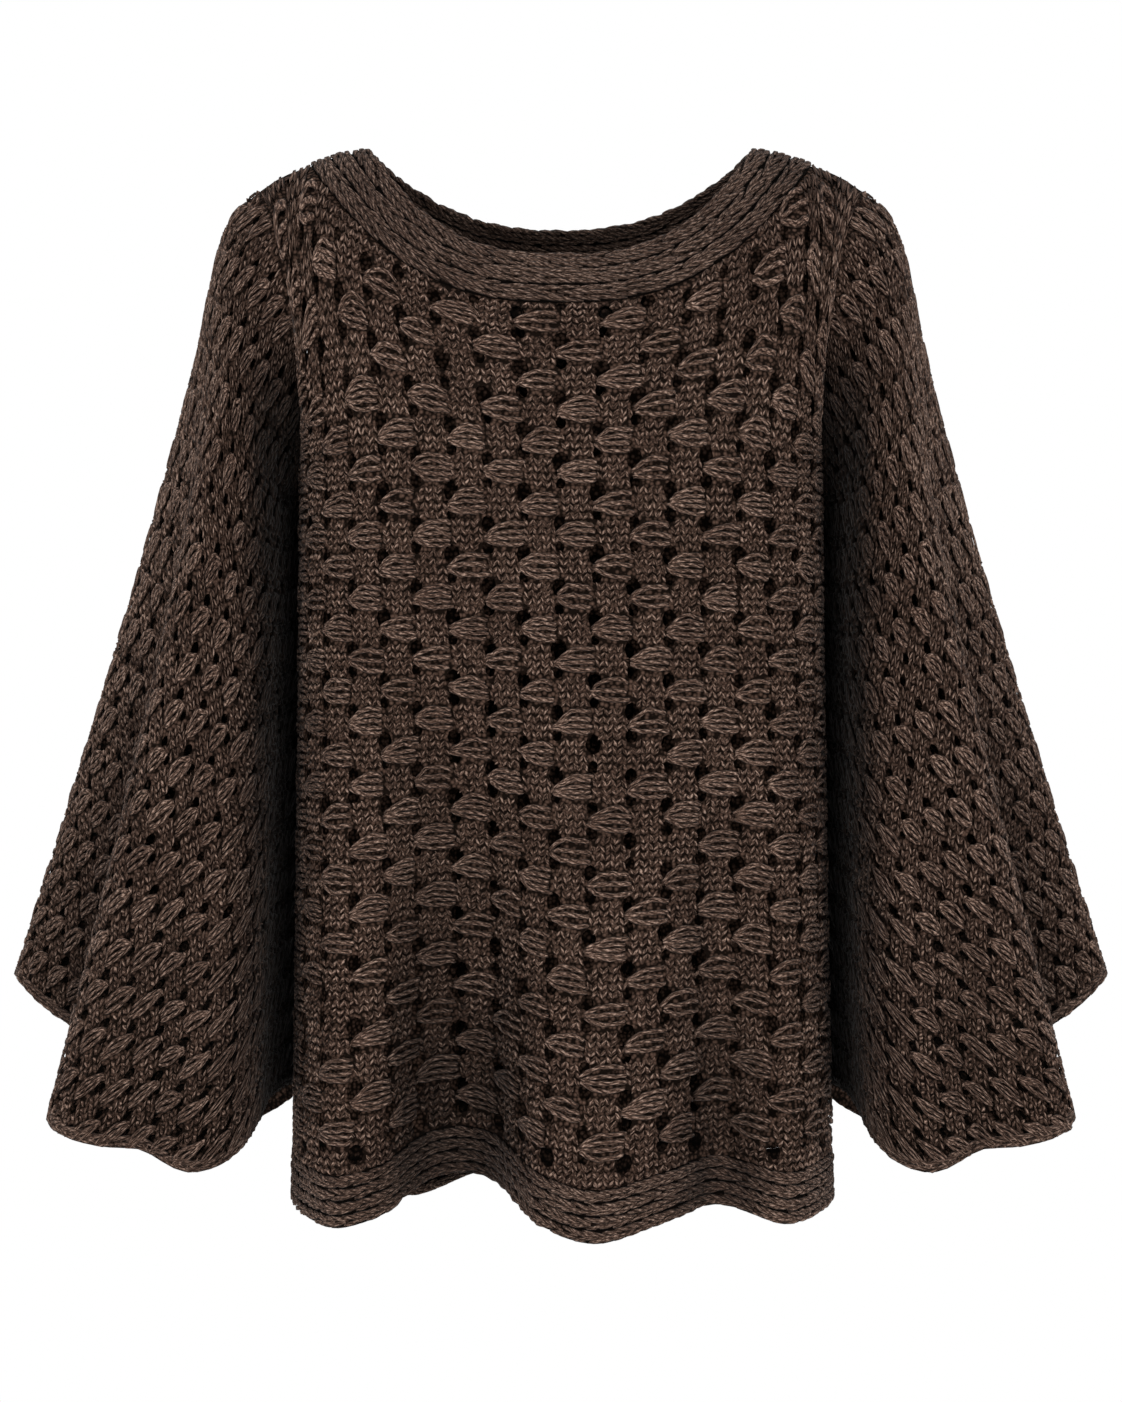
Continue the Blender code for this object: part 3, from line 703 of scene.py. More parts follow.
def sleeve_seams(mirrored):
    """Strips round the armhole and along the underarm."""
    half, sleeve = SLEEVE_COLUMNS // 2, sleeve_grid()
    front, back = upper_panel("front")[::-1, ::-1][:, :6], upper_panel("back")[:, ::-1][:, :6]
    body = np.concatenate([spaced(front, half)[:-1], spaced(back, half)])
    return [
        seam_strip(sleeve[:12].swapaxes(0, 1), body, SEAM_WIDTH, mirrored),
        seam_strip(sleeve[:, ::-1][:, :8], sleeve[:, :8], SEAM_WIDTH, mirrored),
    ]


# Meshes


def piece_named(name, points, faces, material, slot):
    """A smooth mesh piece that rides on the sweater. A point is its place in metres, its place
    along and round its strand in millimetres, how far it stands out of the cloth, and the light
    that reaches it, both from 0 to 1."""
    mesh = bpy.data.meshes.new(name)
    faces = np.asarray(faces, np.int32)
    mesh.vertices.add(len(points))
    mesh.vertices.foreach_set("co", points[:, :3].astype(np.float32).ravel())
    mesh.loops.add(faces.size)
    mesh.loops.foreach_set("vertex_index", faces.ravel())
    mesh.polygons.add(len(faces))
    mesh.polygons.foreach_set("loop_start", np.arange(0, faces.size, faces.shape[1]))
    spots = points[faces.ravel()].astype(np.float32)
    mesh.uv_layers.new(name="yarn").data.foreach_set("uv", spots[:, 3:5].ravel())
    mesh.uv_layers.new(name="exposure").data.foreach_set("uv", spots[:, 5:7].ravel())
    mesh.update(calc_edges=True)
    mesh.validate()
    mesh.shade_smooth()
    mesh.materials.append(material)
    piece = bpy.data.objects.new(name, mesh)
    bpy.context.scene.collection.objects.link(piece)
    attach(piece, "root")
    return piece


def together(meshes):
    """Several meshes' points and faces as one mesh's."""
    first = np.cumsum([0] + [len(points) for points, _ in meshes])
    faces = np.concatenate([part + start for (_, part), start in zip(meshes, first)])
    return np.concatenate([points for points, _ in meshes]), faces


def eyelets_of(pattern, cells, openness):
    """A table of eyelets, by the corner of four cells: how far each is shifted down, its half width
    and half height, and whether it goes right through.

    The strands of a bundle start pinched together, so the eyelets above and below its start sit
    closer to each other, and the upper one is the larger. Next to a seam they close up."""
    table = {}
    for a, b in sorted({(a + i, b + j) for a, b in cells.tolist() for i in (0, 1) for j in (0, 1)}):
        rng = np.random.default_rng([a + 500, b + 500, 7])
        inside = float(pattern.margin(np.array(a), np.array(b)))
        size = rng.uniform(0.78, 1.15) * min(max((inside - 2.5) / 4, 0.04), 1)
        shift, wide, high = EYELET_BELOW if (a + b) % 2 else EYELET_ABOVE
        shift += rng.uniform(-0.03, 0.03)
        through = inside > EYELET_EDGE and bool(pattern.open_at(a, b))
        table[a, b] = shift, wide * size * openness[0], high * size * openness[1], through
    return table


def knit_web(pattern, cells, eyelets):
    """The thin knitted ground of a cloth, with eyelets where four cells meet.

    Each cell is a fan of triangles round its middle, and a closed eyelet is a small hollow. How far
    a point stands out is 0 deep in such an eyelet, where the ground's colour turns black: painted
    shade."""
    points, index, faces = [], {}, []
    circle = [(math.cos(k * math.pi / 4), math.sin(k * math.pi / 4)) for k in range(8)]

    def rim(a, b, k):
        key = ("rim", a, b, k % 8)
        if key not in index:
            shift, wide, high, _ = eyelets[a, b]
            x, y = circle[k % 8]
            index[key] = len(points)
            points.append((a + x * wide, b + shift + y * high, -GROUND_DEPTH, 0.75))
        return index[key]

    def halfway(a, b, down):
        key = ("edge", a, b, down)
        if key not in index:
            index[key] = len(points)
            points.append((a + (0 if down else 0.5), b + (0.5 if down else 0), -GROUND_DEPTH, 1.0))
        return index[key]

    # round a cell: each corner's rim, and the middle of the side after it
    corners = (
        ((0, 0), (2, 1, 0), (0, 0, False)),
        ((1, 0), (4, 3, 2), (1, 0, True)),
        ((1, 1), (6, 5, 4), (0, 1, False)),
        ((0, 1), (0, 7, 6), (0, 0, True)),
    )
    for a, b in cells.tolist():
        loop = []
        for (i, j), turns, (p, q, down) in corners:
            loop += [rim(a + i, b + j, k) for k in turns] + [halfway(a + p, b + q, down)]
        points.append((a + 0.5, b + 0.5, -GROUND_DEPTH + (0.3 if (a + b) % 2 else -0.2), 1.0))
        middle = len(points) - 1
        faces += [(middle, q, p) for p, q in zip(loop, loop[1:] + loop[:1])]
    for (a, b), (shift, _, _, through) in eyelets.items():
        if not through:
            # the hollow's floor stands at 0, which the ground's colour turns black: painted shade
            loop = [rim(a, b, k) for k in range(8)]
            points.append((a, b + shift, -GROUND_DEPTH - EYELET_BASE, 0.0))
            middle = len(points) - 1
            faces += [(middle, p, q) for p, q in zip(loop, loop[1:] + loop[:1])]
    points = np.array(points, float)
    yarn = points[:, [0, 1, 3]] * (*pattern.cell, 1)
    return cloth_points(pattern, points[:, :3], yarn), turned_for(pattern, np.array(faces))


def cloth_points(pattern, drawn, yarn):
    """Points drawn on the flat pattern, as column, row and height, laid on the cloth, followed by
    their yarn numbers and by the light that reaches them."""
    across, down = pattern.shares(drawn[..., 0], drawn[..., 1])
    laid = pattern.cloth.laid(across, down, drawn[..., 2] + pattern.lift).reshape(-1, 3)
    light = pattern.cloth.blended(pattern.cloth.light, across, down).reshape(-1, 1)
    return np.concatenate([laid, yarn, light], axis=1)


def turned_for(knitting, faces):
    """The faces of a pattern or border, turned over where its cloth is mirrored."""
    return faces[:, ::-1] if knitting.cloth.mirrored else faces


def strand_tubes(centre, height, radius, sides, rng):
    """Half tubes along strands drawn on the flat cloth in millimetres: points, faces and yarn."""
    count, rings = radius.shape
    tangent = np.gradient(centre, axis=1)
    tangent /= np.linalg.norm(tangent, axis=-1, keepdims=True)
    aside = np.stack([tangent[..., 1], -tangent[..., 0]], axis=-1)
    angle = np.radians(np.linspace(-100, 100, sides + 1))
    flat = centre[:, :, None] + (radius[..., None] * np.sin(angle))[..., None] * aside[:, :, None]
    raised = height[..., None] + radius[..., None] * np.cos(angle)
    drawn = np.concatenate([flat, raised[..., None]], axis=-1)
    along = lengths_along(centre.swapaxes(0, 1)).T[..., None] + rng.uniform(0, 90, (count, 1, 1))
    around = radius[..., None] * angle + rng.uniform(0, 90, (count, 1, 1))
    # stand is lower towards a strand's sides and low ends, and the yarn's colour darkens with it there:
    # painted shade
    reach = (height - height.min(axis=1, keepdims=True)) / np.ptp(height, axis=1)[:, None]
    stand = (0.4 + 0.6 * reach)[..., None] * (0.05 + 0.95 * np.clip(np.cos(angle) * 1.15, 0, 1))
    yarn = np.stack(np.broadcast_arrays(along, around, stand), axis=-1)
    k, s, t = np.meshgrid(np.arange(count), np.arange(rings - 1), np.arange(sides), indexing="ij")
    wide = sides + 1
    first = (k * rings + s) * wide + t
    faces = np.stack([first + wide, first + wide + 1, first + 1, first], axis=-1).reshape(-1, 4)
    return drawn, faces, yarn.reshape(-1, 3)


def knit_bundles(pattern, cells, strands, spread, tail, width, rise, seed):
    """Bundles of long strands: pinched at their start, fanned out to a share of the cell's height,
    and narrower again by a share at their end, where the next column covers them."""
    rng = np.random.default_rng(seed)
    share = np.array([0.0, 0.07, 0.17, 0.3, 0.45, 0.6, 0.75, 0.88, 0.96, 1.0])
    hump = np.array([0.3, 0.75, 0.95, 1.0, 1.0, 1.0, 1.0, 0.95, 0.75, 0.2])
    centres, heights, radii = [], [], []
    for a, b in cells.tolist():
        count = max(strands + int(rng.integers(-1, 2)), 3)
        fan = 0.22 + 0.78 * (1 - np.clip(1 - share / rng.uniform(0.4, 0.75), 0, 1) ** 1.6)
        fan *= 1 - rng.uniform(*tail) * np.clip(share / 0.5 - 1, 0, 1) ** 2
        pinch, slope = rng.uniform(-0.02, 0.16), rng.normal(0, 0.04)
        arch, tall = rng.uniform(0.0, 0.12), rng.uniform(*spread)
        lift, reach = rng.uniform(0.6, 1.2), rng.uniform(0.92, 1.06)
        for k in range(count):
            side = (k + 0.5 + rng.uniform(-0.12, 0.12)) / count - 0.5
            row = b + 0.5 + pinch * (1 - fan) + tall * side * fan + slope * (share - 0.5)
            row += -arch * (0.5 - side) * np.sin(math.pi * share) + rng.normal(0, 0.016, 10)
            start, stop = a - 0.07 + rng.uniform(-0.06, 0.05), a + reach + rng.uniform(-0.09, 0.04)
            column = start + (stop - start) * share
            height = -1.1 + (lift * rise + 1.1) * hump * (1 - 0.4 * side**2)
            thick = min(width, 0.84 * tall * pattern.cell[1] / count) * rng.uniform(0.82, 1.08)
            centres.append(np.stack([column * pattern.cell[0], row * pattern.cell[1]], axis=1))
            heights.append(height + rng.uniform(-0.35, 0.35))
            radii.append(0.5 * thick * (0.65 + 0.35 * hump) * rng.uniform(0.9, 1.1, 10))
    drawn, faces, yarn = strand_tubes(np.array(centres), np.array(heights), np.array(radii), 3, rng)
    drawn[..., :2] /= pattern.cell
    return cloth_points(pattern, drawn, yarn), turned_for(pattern, faces)


def knit_stitches(pattern, cells, eyelets, block, width, rise, seed):
    """Blocks of plain knitting: rows of small V stitches, each of two slanting legs.

    A leg is a leaf of six points: two ends, two sides, and a ridge of two."""
    rng = np.random.default_rng(seed)
    cell = np.array(pattern.cell)
    column, row = (v.ravel() for v in np.meshgrid(np.arange(block[0]), np.arange(block[1])))
    shape = len(cells), len(column)
    side = np.broadcast_to(np.where(column % 2, 1, -1), shape)
    x = (column + 0.5) / block[0] + rng.normal(0, 0.05 / block[0], shape)
    y = (row + 0.5) / block[1] + rng.normal(0, 0.06 / block[1], shape)
    a, b = cells[:, :1] + x, cells[:, 1:] + y
    keep = pattern.margin(a, b) > STITCH_EDGE
    for i, j in ((0, 0), (1, 0), (0, 1), (1, 1)):
        eyes = np.array([eyelets[p + i, q + j][:3] for p, q in cells.tolist()])[:, None]
        wide, high = 1.12 * eyes[..., 1], 1.25 * eyes[..., 2]
        keep &= ((x - i) / wide) ** 2 + ((y - j - eyes[..., 0]) / high) ** 2 > 1
    centre = np.stack([a[keep], b[keep]], axis=1) * cell
    count = len(centre)
    half = cell[1] / block[1] * rng.uniform(0.58, 0.68, count)
    slant = side[keep] * rng.normal(0.58, 0.06, count)
    run = np.stack([np.sin(slant), -np.cos(slant)], axis=1) * half[:, None]
    wide = width * rng.uniform(0.85, 1.15, count)
    aside = np.stack([run[:, 1], -run[:, 0]], axis=1) / half[:, None] * wide[:, None] / 2
    spots = ((-1, 0), (-0.1, 1), (-0.1, -1), (-0.5, 0), (0.4, 0), (1, 0))
    flat = np.stack([centre + p * run + q * aside for p, q in spots], axis=1)
    # how far a leaf's points stand out, which also darkens its ends and sides in the yarn's colour:
    # painted shade
    stand = np.array([0.4, 0.15, 0.15, 0.95, 1.0, 0.4])
    height = -1.2 + (rise * rng.uniform(0.6, 1.25, (count, 1)) + 1.2) * stand
    drawn = np.concatenate([flat, height[..., None]], axis=-1).reshape(-1, 3)
    drawn[:, :2] /= cell
    along = half[:, None] * np.array([p for p, _ in spots]) + rng.uniform(0, 90, (count, 1))
    around = wide[:, None] * np.array([q / 2 for _, q in spots]) + rng.uniform(0, 90, (count, 1))
    yarn = np.stack(np.broadcast_arrays(along, around, stand), axis=-1).reshape(-1, 3)
    leaf = np.array([(3, 1, 0), (3, 4, 1), (4, 5, 1), (2, 3, 0), (4, 3, 2), (5, 4, 2)])
    faces = (leaf[None] + 6 * np.arange(count)[:, None, None]).reshape(-1, 3)
    return cloth_points(pattern, drawn, yarn), turned_for(pattern, faces)


# Borders


class Border:
    """A band knitted double and folded over its edge, drawn as a run round and a height across.

    The run across starts at the seam outside, turns over the edge, and ends at the seam inside."""

    thick = 3.0

    def __init__(self, cloth, height, ridges, crest, valley, light):
        """crest is how far a ridge stands out, valley the width of the line between two, and light
        the share of it that reaches the outside between the close stitches."""
        self.cloth, self.height, self.ridges = cloth, height, ridges
        self.crest, self.valley, self.light = crest, valley, light
        self.girth = lengths_along(cloth.grid.swapaxes(0, 1))[-1].mean()
        self.turn = math.pi * self.thick / 2
        self.across = 2 * height + self.turn - self.thick

    def relief(self, across):
        """The ridges' profile."""
        return self.crest * np.abs(np.sin(math.pi * self.ridges * across / self.height)) ** 1.2

    def laid(self, around, across, lift, yarn):
        """Points in metres at millimetres round and across, lifted off the band's face, with their
        yarn numbers and the light that reaches them, which is less inside the band."""
        flat = self.height - self.thick / 2
        angle = np.clip((across - flat) / (self.thick / 2), 0, math.pi)
        past = np.maximum(across - flat - self.turn, 0)
        down = np.clip(across, 0, flat) - past + (self.thick / 2 + lift) * np.sin(angle)
        up = (self.thick / 2 + lift) * np.cos(angle) - self.thick / 2
        share = (around / self.girth) % 1.0
        light = self.cloth.blended(self.cloth.light, share, down / self.height)[..., 0]
        light = light * np.where(angle > 2, INSIDE_LIGHT, self.light)
        laid = self.cloth.laid(share, down / self.height, up).reshape(-1, 3)
        return np.concatenate([laid, yarn.reshape(-1, 3), light.reshape(-1, 1)], axis=1)


def knit_band(border, start, columns, rows):
    """The ground of a border, in rounded ridges, from start millimetres below its seam."""
    around = np.arange(columns) / columns * border.girth
    across = np.linspace(start, border.across - start, rows + 1)
    lift = border.relief(across) - 1.4
    spots = np.broadcast_arrays(around[None], across[:, None], lift[:, None])
    # stand falls to 0 in the lines between the ridges, where the ground's colour darkens to black:
    # painted shade
    stand = np.broadcast_to(border.relief(across)[:, None] / border.crest, spots[0].shape)
    points = border.laid(*spots, np.stack([*spots[:2], stand], axis=-1))
    r, c = np.meshgrid(np.arange(rows), np.arange(columns), indexing="ij")
    first, right = r * columns + c, r * columns + (c + 1) % columns
    faces = np.stack([first, first + columns, right + columns, right], axis=-1).reshape(-1, 4)
    return points, turned_for(border, faces)


def knit_chain(border, start, per_ridge, until, length, width, seed):
    """Long slanting stitches along each ridge of a border, overlapping like the plies of a rope."""
    rng = np.random.default_rng(seed)
    share = np.linspace(0, 1, 6)
    hump = np.sin(math.pi * (0.06 + 0.88 * share)) ** 0.6
    ridge = border.height / border.ridges
    pitch = (ridge - border.valley) / per_ridge
    centres, heights, radii = [], [], []
    for row in range(int(until / ridge) * per_ridge):
        middle = row // per_ridge * ridge + border.valley / 2 + (row % per_ridge + 0.5) * pitch
        if middle < start:
            continue
        lean = 0.14 if (row % per_ridge) * 2 < per_ridge else -0.14
        count = int(border.girth / (0.6 * length))
        for k in range(count):
            size = length * rng.uniform(0.8, 1.25)
            x = (k + rng.uniform(-0.25, 0.25)) / count * border.girth + (share - 0.5) * size
            y = middle + 0.5 * size * lean * rng.uniform(0.6, 1.4) * np.sin((share - 0.5) * math.pi)
            y += rng.normal(0, 0.25) + rng.normal(0, 0.12, 6)
            centres.append(np.stack([x, y], axis=1))
            heights.append(border.relief(y) - 1.5 + 1.0 * hump + rng.uniform(-0.35, 0.3))
            radii.append(0.5 * min(width, 1.02 * pitch) * rng.uniform(0.75, 1.05) * (0.4 + 0.6 * hump))
    drawn, faces, yarn = strand_tubes(np.array(centres), np.array(heights), np.array(radii), 3, rng)
    points = border.laid(drawn[..., 0], drawn[..., 1], drawn[..., 2], yarn)
    return points, turned_for(border, faces)


# Materials


def linear(code):
    """A colour of Blender's from an sRGB hex code."""
    channels = (int(code[k : k + 2], 16) / 255 for k in (0, 2, 4))
    return tuple(c / 12.92 if c <= 0.04045 else ((c + 0.055) / 1.055) ** 2.4 for c in channels)


def node(tree, kind, settings=None, **links):
    """Adds a node to the tree. Settings are its own values, or numbers and colours of its sockets,
    and links join its sockets to other nodes' outputs."""
    made = tree.nodes.new(kind)
    for name, value in (settings or {}).items():
        if isinstance(name, str) and hasattr(made, name):
            setattr(made, name, value)
        else:
            made.inputs[name].default_value = value
    for name, source in links.items():
        socket = made.inputs[int(name[1:])] if name[0] == "_" else made.inputs[name]
        tree.links.new(source, socket)
    return made


def new_material(name):
    """A material with a bare shader, and its tree."""
    material = bpy.data.materials.new(name)
    material.use_nodes = True
    tree = material.node_tree
    tree.nodes.clear()
    return material, tree


def knit_material(name):
    """A bare material for the knitting, its tree, and what it goes by: the place, how far it stands
    out, and the light that reaches it."""
    material, tree = new_material(name)
    exposure = node(tree, "ShaderNodeUVMap", {"uv_map": "exposure"}).outputs["UV"]
    stand, light, _ = node(tree, "ShaderNodeSeparateXYZ", Vector=exposure).outputs
    return material, tree, node(tree, "ShaderNodeTexCoord").outputs["Object"], stand, light


def in_light(tree, colour, light):
    """The colour in the shade of the folds and gaps: nearly black where no light reaches."""
    dark = {"data_type": "RGBA", 6: (*linear("050302"), 1)}
    return node(tree, "ShaderNodeMix", dark, _0=light, _7=colour).outputs[2]


def wool_yarn_plied(name, colours):
    """Two-ply heather wool, spun and twisted: each ply is a light ridge that runs slantwise along
    the strand beside a groove painted dark as painted shade, light and dark fibres lie along the yarn,
    and its sides, which the neighbouring strands shade, are painted darker than its crown as painted
    shade."""
    material, tree, place, stand, light = knit_material(name)
    uv = node(tree, "ShaderNodeUVMap", {"uv_map": "yarn"}).outputs["UV"]
    # fibres show as streaks 3 mm long and 0.8 mm wide
    drawn_out = node(tree, "ShaderNodeMapping", {"Scale": (0.34, 1.25, 1.0)}, Vector=uv).outputs[0]
    streaks = {"Scale": 1.0, "Detail": 2.5, "Roughness": 0.65}
    fibre = node(tree, "ShaderNodeTexNoise", streaks, Vector=drawn_out).outputs["Fac"]
    # the heather's darker and lighter places are 3 to 4 cm wide
    patches = {"Scale": 28.0, "Detail": 2.0, "Roughness": 0.5}
    patch = node(tree, "ShaderNodeTexNoise", patches, Vector=place).outputs["Fac"]
    # a ply comes round every 8 mm of the strand, and is 3 mm wide
    wound = node(tree, "ShaderNodeMapping", {"Scale": (0.08, 0.2, 1.0)}, Vector=uv).outputs[0]
    slanting = {"wave_type": "BANDS", "bands_direction": "DIAGONAL", "Scale": 1.0}
    slanting |= {"Distortion": 1.2, "Detail": 1.0}
    plies = node(tree, "ShaderNodeTexWave", slanting, Vector=wound).outputs["Fac"]
    ramp = node(tree, "ShaderNodeValToRGB", Fac=fibre)
    steps = ramp.color_ramp.elements
    steps[0].position, steps[0].color = 0.36, (*colours[1], 1)
    steps[1].position, steps[1].color = 0.64, (*colours[3], 1)
    middle = steps.new(0.5)
    middle.color = (*colours[2], 1)
    # a tint's share grows from 0 to the last number as its value goes from the first to the second
    seen = ramp.outputs["Color"]
    for value, span, blend, tint in (
        # painted shade in the grooves between the plies, which also dent the normal below
        (plies, (0.55, 0.1, 0.85), "MULTIPLY", linear("72645a")),
        (patch, (0.4, 0.62, 1.0), "MULTIPLY", linear("dedad8")),
        # painted shade: yarn that stands low, at its sides and between strands, is mixed towards the
        # deep colour
        (stand, (0.72, 0.08, 0.94), "MIX", colours[0]),
    ):
        ends = dict(zip(("From Min", "From Max", "To Max"), span))
        share = node(tree, "ShaderNodeMapRange", ends, Value=value).outputs[0]
        mixed = {"data_type": "RGBA", "blend_type": blend, 7: (*tint, 1)}
        seen = node(tree, "ShaderNodeMix", mixed, _0=share, _6=seen).outputs[2]
    grooves = node(tree, "ShaderNodeBump", {"Strength": 0.6, "Distance": 0.0007}, Height=plies)
    fuzz = {"Strength": 0.5, "Distance": 0.0004}
    rough = node(tree, "ShaderNodeBump", fuzz, Height=fibre, Normal=grooves.outputs["Normal"])
    matt = {"Roughness": 0.94, "Specular IOR Level": 0.15}
    matt |= {"Sheen Weight": 0.06, "Sheen Roughness": 0.5}
    links = {"Base Color": in_light(tree, seen, light), "Normal": rough.outputs["Normal"]}
    shader = node(tree, "ShaderNodeBsdfPrincipled", matt, **links)
    node(tree, "ShaderNodeOutputMaterial", Surface=shader.outputs[0])
    return material


def wool_ground_knitted(name, colours):
    """The ground of the open knit, seen between its strands: the same wool in the shade of the
    stitches, with loops every 3 mm or so, and black in the eyelets, where no light comes back."""
    material, tree, place, stand, light = knit_material(name)
    loops = node(tree, "ShaderNodeTexVoronoi", {"Scale": 360.0, "Randomness": 0.85}, Vector=place)
    ramp = node(tree, "ShaderNodeValToRGB", Fac=loops.outputs["Distance"])
    steps = ramp.color_ramp.elements
    steps[0].position, steps[0].color = 0.1, (*colours[2], 1)
    steps[1].position, steps[1].color = 0.6, (*colours[0], 1)
    shade = node(tree, "ShaderNodeMapRange", {"From Min": 0.7, "From Max": 0.2}, Value=stand)
    black = {"data_type": "RGBA", 7: (*linear("0a0604"), 1)}
    links = {"_0": shade.outputs[0], "_6": ramp.outputs["Color"]}
    seen = node(tree, "ShaderNodeMix", black, **links).outputs[2]
    hollows = {"Strength": 0.8, "Distance": 0.0012, "invert": True}
    bump = node(tree, "ShaderNodeBump", hollows, Height=loops.outputs["Distance"])
    matt = {"Roughness": 0.97, "Specular IOR Level": 0.08}
    links = {"Base Color": in_light(tree, seen, light), "Normal": bump.outputs["Normal"]}
    shader = node(tree, "ShaderNodeBsdfPrincipled", matt, **links)
    node(tree, "ShaderNodeOutputMaterial", Surface=shader.outputs[0])
    return material


def painted_floor_matt(colour):
    """A matt painted studio floor: pale, without gloss, with a faint roller texture."""
    material, tree = new_material("painted_floor_matt")
    place = node(tree, "ShaderNodeTexCoord").outputs["Object"]
    roller = node(tree, "ShaderNodeTexNoise", {"Scale": 180.0, "Detail": 3.0}, Vector=place)
    faint = {"Strength": 0.05, "Distance": 0.001}
    bump = node(tree, "ShaderNodeBump", faint, Height=roller.outputs["Fac"])
    matt = {"Base Color": (*colour, 1), "Roughness": 0.9, "Specular IOR Level": 0.2}
    shader = node(tree, "ShaderNodeBsdfPrincipled", matt, Normal=bump.outputs["Normal"])
    node(tree, "ShaderNodeOutputMaterial", Surface=shader.outputs[0])
    return material


def yarn_materials():
    """The yarn and the ground, made once."""
    if "wool_yarn_plied" not in bpy.data.materials:
        colours = bpy.context.scene.sweater_yarn
        shades = colours.deep, colours.dark, colours.middle, colours.light
        shades = [tuple(shade) for shade in shades]
        wool_yarn_plied("wool_yarn_plied", shades)
        wool_ground_knitted("wool_ground_knitted", shades)
    return bpy.data.materials["wool_yarn_plied"], bpy.data.materials["wool_ground_knitted"]


# Sizes and colours that a user would change


class SweaterKnit(PropertyGroup):
    """Sizes of the knitting."""

    strand_width: FloatProperty(
        name="Strand width",
        description="Width of one strand in a bundle",
        default=0.0033,
        unit="LENGTH",
        min=0.002,
        max=0.006,
    )
    bundle_rise: FloatProperty(
        name="Bundle rise",
        description="How far a bundle's strands lie above the cloth's face",
        default=0.0002,
        unit="LENGTH",
        min=0.0,
        max=0.006,
    )
    stitch_rise: FloatProperty(
        name="Stitch rise",
        description="How far the small stitches stand off the cloth's face",
        default=0.001,
        unit="LENGTH",
        min=0.0,
        max=0.004,
    )
    stitch_width: FloatProperty(
        name="Stitch width",
        description="Width of one leg of a V stitch",
        default=0.0028,
        unit="LENGTH",
        min=0.001,
        max=0.005,
    )
    border_width: FloatProperty(
        name="Border strand",
        description="Width of one strand in the borders",
        default=0.0039,
        unit="LENGTH",
        min=0.002,
        max=0.006,
    )
    eyelet_size: FloatProperty(
        name="Eyelet size",
        description="Size of the eyelets, as a share of the drawn one",
        default=1.4,
        subtype="FACTOR",
        min=0.3,
        max=1.5,
    )


class SweaterYarn(PropertyGroup):
    """Colours of the heather yarn."""

    deep: FloatVectorProperty(
        name="Deep",
        description="Yarn between the stitches, where light hardly reaches",
        default=linear("19110c"),
        subtype="COLOR",
        min=0,
        max=1,
    )
    dark: FloatVectorProperty(
        name="Dark fibres",
        description="Dark fibres of the heather yarn",
        default=linear("33271f"),
        subtype="COLOR",
        min=0,
        max=1,
    )
    middle: FloatVectorProperty(
        name="Brown fibres",
        description="Brown fibres of the heather yarn",
        default=linear("6c5448"),
        subtype="COLOR",
        min=0,
        max=1,
    )
    light: FloatVectorProperty(
        name="Light fibres",
        description="Light fibres of the heather yarn",
        default=linear("c8a997"),
        subtype="COLOR",
        min=0,
        max=1,
    )


class SweaterStage(PropertyGroup):
    """The floor, the light and the camera."""

    floor_drop: FloatProperty(
        name="Floor below neck",
        description="Height of the neck above the floor",
        default=1.38,
        unit="LENGTH",
        min=0.75,
        max=2.0,
    )
    floor_colour: FloatVectorProperty(
        name="Floor",
        description="Colour of the floor",
        default=linear("eeedeb"),
        subtype="COLOR",
        min=0,
        max=1,
    )
    key_power: FloatProperty(
        name="Main light", description="Power of the main light", default=21.0, unit="POWER", min=0
    )
    fill_power: FloatProperty(
        name="Fill light", description="Power of the fill light", default=20.0, unit="POWER", min=0
    )
    room_light: FloatProperty(
        name="Room light", description="Strength of the even light all round", default=0.74, min=0
    )
    camera_distance: FloatProperty(
        name="Camera distance",
        description="From the camera to the middle of the sweater",
        default=3.2,
        unit="LENGTH",
        min=1,
        max=10,
    )


# Operators


def knit_panel(name, pattern, cells, slot, sheet, bundle, block, openness, riders, seed):
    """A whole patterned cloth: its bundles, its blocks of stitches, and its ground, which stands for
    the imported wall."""
    knit = bpy.context.scene.sweater_knit
    yarn, ground = yarn_materials()
    eyelets = eyelets_of(pattern, cells, [size * knit.eyelet_size for size in openness])
    rng = np.random.default_rng(seed)
    inside = pattern.margin(cells[:, 0] + 0.5, cells[:, 1] + 0.5)
    bundled = (cells.sum(axis=1) % 2 == 0) & (inside > 0.3 * pattern.cell[1])
    bundled &= rng.uniform(0, 1, len(cells)) > 0.03
    normals = pattern.cloth.blended(pattern.cloth.normals, *pattern.shares(*(cells + 0.5).T))
    bundled &= normals[:, 2] < FLAT_ENOUGH
    sizes = knit.strand_width / MM, knit.bundle_rise / MM
    made = knit_bundles(pattern, cells[bundled], *bundle, *sizes, seed)
    bundles = piece_named(name + "_bundles", *made, yarn, slot)
    sizes = knit.stitch_width / MM, knit.stitch_rise / MM
    made = knit_stitches(pattern, cells[~bundled], eyelets, block, *sizes, seed + 1)
    stitches = piece_named(name + "_stitches", *made, yarn, slot)
    piece = piece_named(name + "_ground", *knit_web(pattern, cells, eyelets), ground, slot)
    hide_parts(name)


def knit_seams(name, strips, slot):
    """The strips behind seams."""
    webs = []
    for strip in strips:
        cells = strip.cells()
        webs.append(knit_web(strip, cells, eyelets_of(strip, cells, (0.1, 0.1))))
    return [piece_named(name + "_ground", *together(webs), yarn_materials()[1], slot)]


def knit_border(name, border, ground_size, chain, seed):
    """A whole border: its long stitches, and its ground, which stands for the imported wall."""
    piece, chains = border_pieces(name, border, 0, ground_size, chain, seed)
    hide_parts(name)


